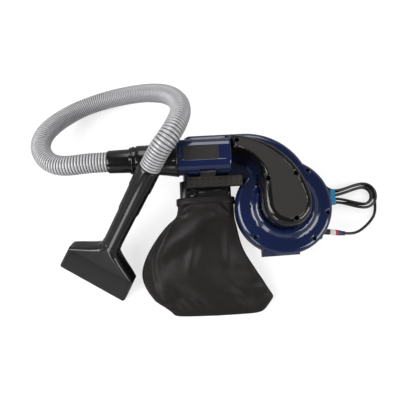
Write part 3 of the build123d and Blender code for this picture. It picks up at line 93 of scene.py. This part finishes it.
class Shading:
    """A tree of shader nodes, and one way to add any node to it."""

    def __init__(self, tree):
        self.tree = tree

    def feed(self, node, sockets):
        for name, term in sockets.items():
            shown = name.replace("_", " ")
            socket = next(entry for entry in node.inputs if name == entry.identifier or shown == entry.name)
            plug_in(self.tree, socket, term)

    def node(self, kind, settings=None, output=0, **sockets):
        node = self.tree.nodes.new(kind)
        for name, value in (settings or {}).items():
            setattr(node, name, value)
        self.feed(node, sockets)
        return Value(self.tree, node.outputs[output])


class Finish(Shading):
    """A surface finish: a Principled shader with the patterns that feed it."""

    def __init__(self, name, **sockets):
        self.material = bpy.data.materials.new(name)
        self.material.use_nodes = True
        super().__init__(self.material.node_tree)
        self.shader = self.tree.nodes["Principled BSDF"]
        self.place = self.node("ShaderNodeTexCoord", output="Object")
        self.feed(self.shader, sockets)

    def noise(self, scale, detail=3.0):
        return self.node("ShaderNodeTexNoise", Vector=self.place, Scale=scale, Detail=detail)

    def bands(self, direction, scale, **sockets):
        settings = {"wave_type": "BANDS", "bands_direction": direction}
        return self.node(
            "ShaderNodeTexWave", settings, output="Fac", Vector=self.place, Scale=scale, **sockets
        )

    def axis(self, name):
        return self.node("ShaderNodeSeparateXYZ", output=name, Vector=self.place)

    def mix(self, share, first, second):
        return self.node(
            "ShaderNodeMix",
            {"data_type": "RGBA"},
            output=2,
            Factor_Float=share,
            A_Color=first,
            B_Color=second,
        )

    def bump(self, height, strength, distance):
        return self.node("ShaderNodeBump", Height=height, Strength=strength, Distance=distance)

    def wear(self, **sockets):
        self.feed(self.shader, sockets)
        return self.material


def srgb(red, green, blue):
    """A colour as it shows on a screen, 0 to 255, in the linear values that shaders take."""

    def linear(level):
        level /= 255
        return level / 12.92 if level <= 0.04045 else ((level + 0.055) / 1.055) ** 2.4

    return (linear(red), linear(green), linear(blue), 1.0)


def moulded(name, colour, deep, rough, coat=0.0, grain=0.05):
    """Injection-moulded plastic: faint flow clouds, fine surface grain and uneven gloss."""
    finish = Finish(name, Coat_Weight=coat, Coat_Roughness=0.05, IOR=1.5)
    clouds = finish.noise(9.0, 4.0)
    specks = finish.noise(900.0, 2.0)
    roughness = rough + (clouds - 0.5) * 0.08 + (specks - 0.5) * 0.05
    return finish.wear(
        Base_Color=finish.mix(clouds, deep, colour),
        Roughness=roughness,
        Normal=finish.bump(specks, grain, 0.0003),
    )


def dress(finish, *names):
    """Gives carried-over parts a finish."""
    for name in names:
        slots = nodes[name].data.materials
        slots.clear()
        slots.append(finish)


def activate(piece):
    """Makes a piece the only selected one, for the operators that follow."""
    bpy.ops.object.select_all(action="DESELECT")
    piece.select_set(True)
    bpy.context.view_layer.objects.active = piece


weld_distance = 0.00002


def smoothed(finish, slot, *names, angle=34, body="machine"):
    """Copies of carried-over parts with their points joined and their round faces shaded smooth."""
    for name in names:
        piece = bpy.data.objects.new(f"{name}_skin", nodes[name].data.copy())
        bpy.context.scene.collection.objects.link(piece)
        activate(piece)
        bpy.ops.object.mode_set(mode="EDIT")
        bpy.ops.mesh.select_all(action="SELECT")
        bpy.ops.mesh.remove_doubles(threshold=weld_distance)
        bpy.ops.object.mode_set(mode="OBJECT")
        bpy.ops.object.shade_smooth_by_angle(angle=math.radians(angle))
        even = piece.modifiers.new("even", "WEIGHTED_NORMAL")
        even.keep_sharp = True
        even.weight = 80
        bpy.ops.object.modifier_apply(modifier="even")
        piece.data.materials.clear()
        piece.data.materials.append(finish)
        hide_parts(name)
        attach(piece, body)


navy = moulded("navy_gloss", srgb(12, 28, 68), srgb(9, 20, 54), 0.15, coat=0.5)
smoothed(navy, "navy", "front_housing", "rear_housing", "inlet_tube_cover")

foot_root_y = -0.0955
foot_left_x = -0.034
foot_length = 0.076
foot_left_share = 0.9
foot_right_share = 0.2
scroll = bpy.data.objects["rear_housing_skin"]
for vertex in scroll.data.vertices:
    if vertex.co.y < foot_root_y:
        along = min(1.0, max(0.0, (vertex.co.x - foot_left_x) / foot_length))
        depth_share = foot_left_share + (foot_right_share - foot_left_share) * along
        vertex.co.y = foot_root_y + (vertex.co.y - foot_root_y) * depth_share

black_steel = Finish("blackened_steel", Metallic=0.8)
screw_steel = black_steel.wear(
    Base_Color=black_steel.mix(black_steel.noise(140.0), srgb(16, 16, 17), srgb(34, 34, 36)),
    Roughness=0.36 + black_steel.noise(420.0) * 0.16,
)
dress(screw_steel, "housing_screws")

# Suction cover: the comma-shaped duct over the fan's eye, moulded in black with polished shoulders and
# held by four screws. A matt brown-grey panel is let into its top, and a dark lacquered plate into the
# inlet tube.
black_gloss = moulded("black_gloss", srgb(19, 17, 17), srgb(10, 9, 9), 0.13, coat=0.1)
smoothed(black_gloss, "black_gloss", "duct_cover")
dress(screw_steel, "cover_screws")

panel = Finish("panel_matt", IOR=1.45)
ripple = panel.bands("DIAGONAL", 230.0, Distortion=5.0, Detail=2.0, Detail_Scale=0.6)
panel_grain = panel.noise(1500.0, 2.0)
dress(
    panel.wear(
        Base_Color=panel.mix(ripple * 0.6 + panel.noise(22.0) * 0.4, srgb(22, 20, 19), srgb(34, 31, 29)),
        Roughness=0.55 + panel_grain * 0.14,
        Normal=panel.bump(ripple + panel_grain * 0.6, 0.22, 0.0004),
    ),
    "duct_panel",
)

badge = Finish("badge_lacquer", Coat_Weight=0.5, Coat_Roughness=0.08)
badge_grain = badge.noise(700.0, 2.0)
dress(
    badge.wear(
        Base_Color=badge.mix(badge.noise(30.0), srgb(26, 24, 24), srgb(38, 35, 34)),
        Roughness=0.26 + badge_grain * 0.1,
        Normal=badge.bump(badge_grain, 0.04, 0.0003),
    ),
    "badge_plate",
)

# Coupling and suction hose: two turned-looking black collars hold the cuff of a silver PVC hose. The hose
# is blown as a row of wide round ribs with a narrow groove between them, and lies in one open loop.
smoothed(black_gloss, "black_gloss", "inlet_collar", "lock_ring", "body_hose_cuff", "wand_hose_cuff")

hose_crest_r = 0.0195
hose_root_r = 0.0175
hose_ribs = 150
rib_profile = (  # share of the pitch, share of the rib's height
    (0.0, 0.0),
    (0.09, 0.35),
    (0.2, 0.82),
    (0.36, 1.0),
    (0.64, 1.0),
    (0.8, 0.82),
    (0.91, 0.35),
    (1.0, 0.0),
)
wand_top = Vector((-0.2535, 0.069, 0.1986))
wand_lead = 0.041
wand_heading = math.radians(232.6)
wand_descent = math.radians(36.75)
wand_way = Vector(
    (
        math.cos(wand_descent) * math.cos(wand_heading),
        math.cos(wand_descent) * math.sin(wand_heading),
        -math.sin(wand_descent),
    )
)
hose_route = (
    (-0.339, 0.096, 0.150),
    (-0.380, 0.096, 0.150),
    (-0.413, 0.093, 0.147),
    (-0.444, 0.097, 0.139),
    (-0.471, 0.114, 0.126),
    (-0.489, 0.143, 0.111),
    (-0.488, 0.177, 0.093),
    (-0.475, 0.211, 0.064),
    (-0.453, 0.243, 0.034),
    (-0.423, 0.265, 0.0197),
    (-0.380, 0.278, 0.0197),
    (-0.337, 0.279, 0.036),
    (-0.295, 0.273, 0.061),
    (-0.256, 0.260, 0.092),
    (-0.221, 0.238, 0.130),
    (-0.198, 0.206, 0.167),
    (-0.193, 0.172, 0.198),
    (-0.202, 0.141, 0.220),
    (-0.215, 0.116, 0.230),
    tuple(wand_top - wand_way * wand_lead),
    tuple(wand_top),
)


def route_curve(name, points):
    """A smooth line that starts and ends at the outer points and is drawn along by the others."""
    line = bpy.data.curves.new(name, "CURVE")
    line.dimensions = "3D"
    line.resolution_u = 12
    spline = line.splines.new("NURBS")
    spline.points.add(len(points) - 1)
    for point, place in zip(spline.points, points):
        point.co = (*place, 1.0)
    spline.order_u = 3
    spline.use_endpoint_u = True
    curve = bpy.data.objects.new(name, line)
    bpy.context.scene.collection.objects.link(curve)
    return curve


def line_points(curve):
    """The points along a curve, with the distance from end to end."""
    bpy.context.view_layer.update()
    line = bpy.data.meshes.new_from_object(curve)
    points = [vertex.co.copy() for vertex in line.vertices]
    bpy.data.meshes.remove(line)
    return points, sum((b - a).length for a, b in zip(points, points[1:]))


hose_line = route_curve("hose_line", hose_route)
hose_points, hose_run = line_points(hose_line)
pitch = hose_run / hose_ribs
bpy.ops.mesh.primitive_circle_add(vertices=40, radius=hose_root_r, rotation=(0, math.pi / 2, 0))
hose = bpy.context.object
hose.name = "ribbed_hose"
bpy.ops.object.transform_apply(rotation=True)
bpy.ops.object.mode_set(mode="EDIT")
bpy.ops.mesh.select_all(action="SELECT")
for (along, rise), (next_along, next_rise) in zip(rib_profile, rib_profile[1:]):
    radius = hose_root_r + rise * (hose_crest_r - hose_root_r)
    next_radius = hose_root_r + next_rise * (hose_crest_r - hose_root_r)
    bpy.ops.mesh.extrude_region_move(TRANSFORM_OT_translate={"value": ((next_along - along) * pitch, 0, 0)})
    grow = next_radius / radius
    bpy.ops.transform.resize(value=(1, grow, grow), center_override=(next_along * pitch, 0, 0))
bpy.ops.object.mode_set(mode="OBJECT")
# Each point keeps how deep it lies in a groove; this share later sets the painted shade in the grooves.
groove = hose.data.attributes.new("groove", "FLOAT", "POINT")
for vertex, groove_shade in zip(hose.data.vertices, groove.data):
    groove_shade.value = (hose_crest_r - math.hypot(vertex.co.y, vertex.co.z)) / (hose_crest_r - hose_root_r)
row = hose.modifiers.new("row", "ARRAY")
row.count = hose_ribs
row.use_relative_offset = False
row.use_constant_offset = True
row.constant_offset_displace = (pitch, 0, 0)
row.use_merge_vertices = True
row.merge_threshold = 0.00005
bend = hose.modifiers.new("bend", "CURVE")
bend.object = hose_line
bend.deform_axis = "POS_X"
activate(hose)
bpy.ops.object.modifier_apply(modifier="row")
bpy.ops.object.modifier_apply(modifier="bend")
bpy.ops.object.shade_smooth()
bpy.data.objects.remove(hose_line)

# Painted shade: the grooves between the ribs are painted near black by their depth, its strength varied by
# a noise that also varies the gloss.
silver = Finish("hose_silver", Metallic=0.15, IOR=1.5)
groove_shade = silver.node("ShaderNodeAttribute", {"attribute_name": "groove"}, output="Fac")
dust_and_shade = silver.noise(55.0, 4.0)
hose.data.materials.append(
    silver.wear(
        Base_Color=silver.mix(groove_shade * (0.95 + dust_and_shade * 0.3), srgb(172, 172, 174), srgb(24, 24, 26)),
        Roughness=0.26 + dust_and_shade * 0.12,
        Normal=silver.bump(silver.noise(1200.0, 2.0), 0.05, 0.0002),
    )
)
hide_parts("suction_hose")
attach(hose, "machine")

# Wand and nozzle: a black socket, a slightly thinner pipe that turns in it and a wide flared head, all
# blow-moulded in glossy black plastic. A row of comb teeth sits under the head's upper lip.
smoothed(black_gloss, "black_gloss", "adapter_sleeve")
smoothed(black_gloss, "black_gloss", "wand_pipe", body="nozzle")
smoothed(black_gloss, "black_gloss", "nozzle_head", angle=40, body="nozzle")
comb = moulded("comb_grey", srgb(92, 90, 88), srgb(70, 68, 67), 0.45, grain=0.12)
dress(comb, "nozzle_comb_strip")

# Bag frame and latch: an open black frame that plugs into the outlet, with a sprung latch on a steel pin.
# Both are moulded in the satin grade of the same plastic.
black_satin = moulded("black_satin", srgb(24, 22, 22), srgb(12, 11, 11), 0.26, coat=0.1, grain=0.1)
smoothed(black_satin, "black_satin", "bag_frame")
latch_matt = Finish("latch_matt", IOR=1.5)
# Painted shade: every point of the latch between these two heights, the floors of the grip's dots and
# arches and a thin strip of the bar's sides, is painted near black.
grip_low_z = 0.1262
grip_high_z = 0.1288
level = latch_matt.axis("Z")
painted_recess_shade = (level < grip_high_z) * (level > grip_low_z)
latch_grain = latch_matt.noise(900.0, 2.0)
latch_colour = latch_matt.mix(latch_matt.noise(12.0, 4.0), srgb(36, 34, 33), srgb(50, 47, 45))
smoothed(
    latch_matt.wear(
        Base_Color=latch_matt.mix(painted_recess_shade * 0.9, latch_colour, srgb(6, 6, 6)),
        Roughness=0.4 + latch_grain * 0.08,
        Normal=latch_matt.bump(latch_grain, 0.16, 0.0003),
    ),
    "black_satin",
    "bag_latch",
    body="latch",
)

steel = Finish("bright_steel", Metallic=1.0)
steel_lines = steel.noise(300.0, 2.0)
steel_finish = steel.wear(
    Base_Color=steel.mix(steel.noise(40.0), srgb(150, 150, 152), srgb(186, 186, 188)),
    Roughness=0.22 + steel_lines * 0.14,
    Normal=steel.bump(steel_lines, 0.04, 0.0002),
)
dress(steel_finish, "latch_pin")

# Dust bag: a black-brown woven cloth sack sewn to a collar on the frame. It is lofted ring by ring,
# then settled as slack cloth between its collar, its side seams and its flat bottom hem.
bag_rings = (  # place along the bag, then left, right, low and high limits
    (0.023, -0.212, -0.098, 0.062, 0.119),
    (0.011, -0.212, -0.098, 0.062, 0.119),
    (-0.012, -0.2135, -0.098, 0.058, 0.112),
    (-0.018, -0.229, -0.097, 0.053, 0.107),
    (-0.040, -0.254, -0.090, 0.030, 0.088),
    (-0.078, -0.284, -0.082, 0.006, 0.062),
    (-0.110, -0.299, -0.060, 0.0015, 0.048),
    (-0.140, -0.301, -0.043, 0.0015, 0.040),
    (-0.175, -0.278, -0.021, 0.0015, 0.0298),
    (-0.182, -0.273, -0.0165, 0.0015, 0.028),
    (-0.187, -0.266, -0.0195, 0.0015, 0.024),
    (-0.205, -0.240, -0.032, 0.0015, 0.012),
    (-0.213, -0.234, -0.040, 0.0015, 0.009),
    (-0.219, -0.231, -0.052, 0.0015, 0.0075),
)
ring_squareness = 0.62
ring_points = 56


def ring_at(name, y, left, right, low, high):
    """A squarish ring across the bag, ready to be extruded in edit mode."""
    bpy.ops.mesh.primitive_circle_add(vertices=ring_points, radius=1.0, rotation=(math.pi / 2, 0, 0))
    ring = bpy.context.object
    ring.name = name
    bpy.ops.object.transform_apply(rotation=True)
    for vertex in ring.data.vertices:
        x, z = vertex.co.x, vertex.co.z
        vertex.co.x = (left + right) / 2 + math.copysign(abs(x) ** ring_squareness, x) * (right - left) / 2
        vertex.co.z = (low + high) / 2 + math.copysign(abs(z) ** ring_squareness, z) * (high - low) / 2
        vertex.co.y = y
    bpy.ops.object.mode_set(mode="EDIT")
    bpy.ops.mesh.select_all(action="SELECT")
    return ring


def extrude_ring(start, end):
    """Draws the selected ring on to the next one."""
    (y, left, right, low, high), (next_y, next_left, next_right, next_low, next_high) = start, end
    shift = (
        (next_left + next_right - left - right) / 2,
        next_y - y,
        (next_low + next_high - low - high) / 2,
    )
    bpy.ops.mesh.extrude_region_move(TRANSFORM_OT_translate={"value": shift})
    bpy.ops.transform.resize(
        value=((next_right - next_left) / (right - left), 1, (next_high - next_low) / (high - low)),
        center_override=((next_left + next_right) / 2, next_y, (next_low + next_high) / 2),
    )


bag = ring_at("dust_bag_cloth", *bag_rings[0])
for start, end in zip(bag_rings, bag_rings[1:]):
    extrude_ring(start, end)
bpy.ops.mesh.edge_face_add()
bpy.ops.mesh.select_all(action="SELECT")
bpy.ops.mesh.normals_make_consistent(inside=False)
bpy.ops.object.mode_set(mode="OBJECT")
rounding = bag.modifiers.new("rounding", "SUBSURF")
rounding.levels = 1
rounding.render_levels = 1
activate(bag)
bpy.ops.object.modifier_apply(modifier="rounding")

collar_y = 0.004
hem_y = -0.200
seam_share = 0.95
settle_frames = 34
held = bag.vertex_groups.new(name="held")
levels = {}
for vertex in bag.data.vertices:
    levels.setdefault(round(vertex.co.y, 4), []).append(vertex.co.x)
for vertex in bag.data.vertices:
    x, y = vertex.co.xy
    left, right = min(levels[round(y, 4)]), max(levels[round(y, 4)])
    if y > collar_y or y < hem_y or abs(2 * x - left - right) > seam_share * (right - left):
        held.add([vertex.index], 1.0, "REPLACE")
bpy.ops.mesh.primitive_plane_add(size=1.2, location=(-0.15, -0.1, 0.0))
ground = bpy.context.object
ground.modifiers.new("ground", "COLLISION")
ground.collision.thickness_outer = 0.001
cloth = bag.modifiers.new("cloth", "CLOTH")
cloth.settings.quality = 6
cloth.settings.mass = 0.12
cloth.settings.tension_stiffness = 12
cloth.settings.compression_stiffness = 12
cloth.settings.bending_stiffness = 0.35
cloth.settings.shrink_min = -0.03
cloth.settings.vertex_group_mass = "held"
cloth.settings.use_pressure = True
cloth.settings.uniform_pressure_force = 1.5
cloth.settings.effector_weights.gravity = 0.15
cloth.collision_settings.distance_min = 0.001
bpy.context.scene.frame_start = 1
bpy.context.scene.frame_end = settle_frames
for number in range(1, settle_frames + 1):
    bpy.context.scene.frame_set(number)
activate(bag)
bpy.ops.object.modifier_apply(modifier="cloth")
bpy.data.objects.remove(ground)
bpy.context.scene.frame_set(1)
softened = bag.modifiers.new("softened", "SUBSURF")
softened.levels = 2
softened.render_levels = 2
activate(bag)
bpy.ops.object.modifier_apply(modifier="softened")
bpy.ops.object.shade_smooth()

bag_folds = (  # start, end, half width and height of each crease on the upper side
    ((-0.206, -0.004), (-0.184, 0.009), 0.006, 0.006),
    ((-0.184, 0.009), (-0.130, 0.004), 0.007, 0.006),
    ((-0.130, 0.004), (-0.108, -0.016), 0.006, 0.005),
    ((-0.236, -0.062), (-0.150, -0.016), 0.010, 0.007),
    ((-0.262, -0.086), (-0.176, -0.048), 0.012, 0.007),
    ((-0.176, -0.048), (-0.196, -0.118), 0.010, 0.005),
    ((-0.110, -0.030), (-0.112, -0.110), 0.010, 0.005),
    ((-0.278, -0.150), (-0.200, -0.185), 0.012, 0.004),
    ((-0.050, -0.150), (-0.090, -0.190), 0.012, 0.004),
)
fold_reach = 3.0
fold_end = 0.12
least_upward = 0.2
upper_side = [
    (vertex, vertex.normal.copy()) for vertex in bag.data.vertices if vertex.normal.z > least_upward
]
for start, end, width, rise in bag_folds:
    start, end = Vector(start), Vector(end)
    for vertex, outward in upper_side:
        spot = vertex.co.xy
        share = max(0.0, min(1.0, (spot - start).dot(end - start) / (end - start).length_squared))
        away = (spot - start.lerp(end, share)).length
        if away < fold_reach * width:
            swell = math.sin(math.pi * (fold_end + (1 - 2 * fold_end) * share))
            vertex.co += outward * rise * swell * math.exp(-((away / width) ** 2))

collar_ring = (0.0245, -0.2135, -0.0965, 0.0605, 0.1205)
collar_end = (0.0125, -0.2135, -0.0965, 0.0605, 0.1205)
collar = ring_at("bag_collar", *collar_ring)
extrude_ring(collar_ring, collar_end)
bpy.ops.object.mode_set(mode="OBJECT")
thick = collar.modifiers.new("thick", "SOLIDIFY")
thick.thickness = 0.0022
thick.offset = 0.0
turned = collar.modifiers.new("turned", "BEVEL")
turned.width = 0.0009
turned.segments = 3
activate(collar)
bpy.ops.object.modifier_apply(modifier="thick")
bpy.ops.object.modifier_apply(modifier="turned")
bpy.ops.object.shade_smooth()

cloth_finish = Finish("bag_cloth", IOR=1.45, Specular_IOR_Level=0.36, Sheen_Weight=0.03)
weave = sum(cloth_finish.bands(direction, 260.0, Distortion=0.6) for direction in ("X", "Y"))
run = cloth_finish.axis("Y")
hem_lines = (-0.2015, -0.2065)
stitch_half = 0.0007
stitch = sum(abs(run - line) < stitch_half for line in hem_lines)
fade = cloth_finish.noise(16.0, 4.0)
cloth_colour = cloth_finish.mix(fade * 0.7 + weave * 0.15, srgb(10, 8, 7), srgb(22, 17, 15))
cloth_material = cloth_finish.wear(
    Base_Color=cloth_finish.mix(stitch * 0.7, cloth_colour, srgb(10, 9, 9)),
    Roughness=0.4 + fade * 0.12,
    Normal=cloth_finish.bump(weave * 0.3 + fade * 0.7 - stitch * 0.8, 0.3, 0.0008),
)
for piece, slot, node in ((bag, "bag_cloth", "dust_bag"), (collar, "bag_band", "bag_neck_band")):
    piece.data.materials.append(cloth_material)
    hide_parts(node)
    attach(piece, "machine")

# Motor: the black cover on the underside, on which the machine lies, held by four screws. In it is a
# universal motor of laminated iron, enamelled copper and carbon brushes, with moulded fans on its steel
# shaft.
smoothed(black_satin, "black_satin", "motor_cover")
dress(black_satin, "cooling_fan", "impeller")
dress(screw_steel, "motor_screws")
dress(steel_finish, "shaft", "front_bearing", "rear_bearing", "impeller_nut")

iron = Finish("stacked_iron", Metallic=0.9)
sheets = iron.bands("Z", 160.0)
dress(
    iron.wear(
        Base_Color=iron.mix(sheets * 0.6 + iron.noise(60.0) * 0.4, srgb(62, 60, 58), srgb(112, 109, 105)),
        Roughness=0.38 + iron.noise(200.0) * 0.16,
        Normal=iron.bump(sheets, 0.2, 0.0003),
    ),
    "armature",
    "stator",
)
copper = Finish("enamelled_copper", Metallic=0.9, Coat_Weight=0.4)
strands = copper.noise(320.0, 2.0)
dress(
    copper.wear(
        Base_Color=copper.mix(strands, srgb(120, 58, 28), srgb(196, 112, 62)),
        Roughness=0.26 + strands * 0.16,
        Normal=copper.bump(strands, 0.25, 0.0004),
    ),
    "field_windings",
    "commutator",
)
brass = Finish("brass", Metallic=1.0)
tarnish = brass.noise(90.0, 4.0)
brass_finish = brass.wear(
    Base_Color=brass.mix(tarnish, srgb(150, 116, 58), srgb(196, 160, 92)),
    Roughness=0.22 + tarnish * 0.18,
)
dress(brass_finish, "brush_holders")
carbon = Finish("carbon", Metallic=0.2)
grit = carbon.noise(600.0, 3.0)
dress(
    carbon.wear(
        Base_Color=carbon.mix(grit, srgb(28, 28, 29), srgb(52, 52, 54)),
        Roughness=0.5 + grit * 0.2,
        Normal=carbon.bump(grit, 0.2, 0.0003),
    ),
    "carbon_brushes",
)

# Switch: a red rocker that tips in a small black body, which snaps into the side lobe of the motor cover.
# Both are injection moulded, the rocker in glossy plastic and the body in the cover's satin grade.
red = moulded("rocker_red", srgb(170, 24, 22), srgb(132, 14, 14), 0.24, coat=0.3)
dress(red, "rocker_button")
dress(black_satin, "switch_body")

# Power cord: round black PVC flex through a rubber strain relief with a plain printed band, laid up in a
# flat hank under a blue tie, and ending in a moulded plug with brass pins.
rubber = moulded("rubber_black", srgb(26, 26, 27), srgb(16, 16, 17), 0.44, grain=0.14)
smoothed(rubber, "cord_black", "strain_relief", "power_plug")
dress(brass_finish, "plug_pins")
cord_r = 0.003
relief_tip = Vector((0.1395, -0.0565, 0.042))
relief_way = Vector((0.99, -0.14, 0.0)).normalized()
relief_lead = 0.012
hank_middle = Vector((0.1317, 0.0282, 0.0))
hank_right = 0.070
hank_left = 0.040
low_z = 0.0046
high_z = 0.0113
outer_right_r = 0.027
inner_right_r = 0.019
outer_left_r = 0.024
inner_left_r = 0.016
outer_waist = 0.012
inner_waist = 0.004
waist_half = 0.014
corner_share = math.tan(math.radians(22.5))
cord_route = [
    relief_tip - relief_way * relief_lead,
    relief_tip + relief_way * relief_lead,
    Vector((0.172, -0.054, 0.034)),
    Vector((0.194, -0.043, 0.018)),
    Vector((0.213, -0.029, 0.007)),
    Vector((0.225, -0.014, 0.0048)),
    Vector((0.2287, 0.008, 0.0046)),
]


def hank_point(x, y, z):
    """A point of the hank, measured from its middle."""
    return hank_middle + Vector((x, y, z))


hank_turns = (  # right lobe, waist, left lobe up and down, waist, next right lobe, height before and after
    (outer_right_r, outer_waist, outer_left_r, outer_left_r, outer_waist, inner_right_r, low_z, low_z),
    (inner_right_r, inner_waist, inner_left_r, inner_left_r, inner_waist, inner_right_r, low_z, high_z),
    (inner_right_r, inner_waist, inner_left_r, outer_left_r, outer_waist, outer_right_r, high_z, high_z),
)
cord_route.append(hank_point(hank_right + outer_right_r, outer_right_r * corner_share, low_z))
for right_r, waist_up, left_up, left_down, waist_down, next_right, z, next_z in hank_turns:
    for share in (corner_share, -corner_share):
        cord_route.append(hank_point(hank_right + right_r * share, right_r, z))
    for x in (waist_half, -waist_half):
        cord_route.append(hank_point(x, waist_up, z))
    for share in (-corner_share, corner_share):
        cord_route.append(hank_point(-hank_left - left_up * share, left_up, z))
    for radius, share in ((left_up, 1), (left_down, -1)):
        cord_route.append(hank_point(-hank_left - radius, radius * share * corner_share, z))
    for share in (corner_share, -corner_share):
        cord_route.append(hank_point(-hank_left - left_down * share, -left_down, z))
    for x, height in ((-waist_half, (z + next_z) / 2), (waist_half, next_z)):
        cord_route.append(hank_point(x, -waist_down, height))
    for share in (-corner_share, corner_share):
        cord_route.append(hank_point(hank_right + next_right * share, -next_right, next_z))
    for share in (-corner_share, corner_share):
        cord_route.append(hank_point(hank_right + next_right, next_right * share, next_z))
plug_z = 0.0134
plug_lead = (  # from the hank's waist to the plug
    (0.014, 0.0125, high_z),
    (-0.008, 0.017, high_z),
    (-0.021, 0.033, plug_z),
    (-0.031, 0.035, plug_z),
    (-0.042, 0.035, plug_z),
)
for share in (corner_share, -corner_share):
    cord_route.append(hank_point(hank_right + outer_right_r * share, outer_right_r, high_z))
for place in plug_lead:
    cord_route.append(hank_point(*place))
cord = route_curve("power_cord_flex", [tuple(point) for point in cord_route])
cord_points, cord_run = line_points(cord)
cord.data.bevel_depth = cord_r
cord.data.bevel_resolution = 5
flex = moulded("flex_black", srgb(24, 24, 25), srgb(14, 14, 15), 0.34, grain=0.08)
cord.data.materials.append(flex)
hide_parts("power_cord", "cord_hank")
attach(cord, "machine")

tie = moulded("tie_blue", srgb(38, 134, 176), srgb(26, 110, 152), 0.4, grain=0.1)
dress(tie, "cord_tie")

band = Finish("cord_band_print", IOR=1.45)
red_start_x = 0.119
blue_start_x = 0.1255
along = band.axis("X")
paper = band.mix(band.noise(120.0), srgb(214, 212, 208), srgb(232, 231, 228))
red_part = band.mix(along > red_start_x, paper, srgb(176, 34, 34))
dress(
    band.wear(
        Base_Color=band.mix(along > blue_start_x, red_part, srgb(34, 60, 130)),
        Roughness=0.4 + band.noise(500.0) * 0.14,
    ),
    "cord_band",
)

# Studio: a white floor that keeps the shadows but is dim in reflections, soft lamps round the machine,
# a sky that darkens towards its top, and a camera almost overhead.
floor_glow_share = 0.6
floor_glow = 1.15
mirror_dimming = 0.7
bpy.ops.mesh.primitive_plane_add(size=12.0, location=(0, 0, -0.0005))
floor = bpy.context.object
floor.name = "studio_floor"
floor_finish = Finish("studio_floor", Roughness=0.9)
paint = floor_finish.mix(floor_finish.noise(2.0), (0.93, 0.93, 0.93, 1), (0.95, 0.95, 0.95, 1))
mirrored = floor_finish.node("ShaderNodeLightPath", output="Is Glossy Ray")
floor_finish.wear(Base_Color=floor_finish.mix(mirrored * mirror_dimming, paint, (0, 0, 0, 1)))
seen = floor_finish.node("ShaderNodeLightPath", output="Is Camera Ray")
lit = floor_finish.node(
    "ShaderNodeMixShader",
    Fac=seen * floor_glow_share,
    Shader=Value(floor_finish.tree, floor_finish.shader.outputs[0]),
    Shader_001=floor_finish.node("ShaderNodeEmission", Strength=floor_glow),
)
floor_finish.feed(floor_finish.tree.nodes["Material Output"], {"Surface": lit})
floor.data.materials.append(floor_finish.material)


def soft_box(name, location, target, size, power):
    """A square studio lamp that faces a point."""
    lamp = bpy.data.lights.new(name, "AREA")
    lamp.size = size
    lamp.energy = power
    box = bpy.data.objects.new(name, lamp)
    box.location = location
    box.rotation_euler = (Vector(target) - Vector(location)).to_track_quat("-Z", "Y").to_euler()
    bpy.context.scene.collection.objects.link(box)


soft_box("lamp_left", (-1.4, -0.2, 1.3), (-0.1, 0.05, 0.1), 1.2, 30)
soft_box("lamp_right", (1.3, -0.7, 1.3), (0, 0, 0.1), 1.1, 20)
soft_box("lamp_back", (-0.1, 1.5, 1.5), (-0.1, 0.05, 0.1), 1.3, 20)
soft_box("lamp_low", (-1.0, -1.2, 0.5), (-0.3, -0.05, 0.1), 0.5, 3)

horizon_light = 0.6
zenith_light = 0.12
horizon_height = 0.15
zenith_height = 0.6
world = bpy.data.worlds.new("studio")
world.use_nodes = True
sky = Shading(world.node_tree)
sky_way = sky.node("ShaderNodeTexCoord", output="Generated")
sky_light = sky.node(
    "ShaderNodeMapRange",
    Value=sky.node("ShaderNodeSeparateXYZ", output="Z", Vector=sky_way),
    From_Min=horizon_height,
    From_Max=zenith_height,
    To_Min=horizon_light,
    To_Max=zenith_light,
)
sky.feed(sky.tree.nodes["Background"], {"Color": (1, 1, 1, 1), "Strength": sky_light})
bpy.context.scene.world = world
bpy.context.scene.view_settings.view_transform = "Standard"

camera_place = (-0.1662, -0.1036, 0.8903)
camera_tilt = math.radians(9.0)
camera_roll = math.radians(-2.75)
picture_half_px = 200
focal_length_px = 395
camera = bpy.data.objects.new("camera", bpy.data.cameras.new("camera"))
bpy.context.scene.collection.objects.link(camera)
camera.matrix_world = (
    Matrix.Translation(camera_place)
    @ Matrix.Rotation(camera_tilt, 4, "X")
    @ Matrix.Rotation(camera_roll, 4, "Z")
)
camera.data.sensor_fit = "HORIZONTAL"
camera.data.angle = 2 * math.atan(picture_half_px / focal_length_px)
bpy.context.scene.camera = camera
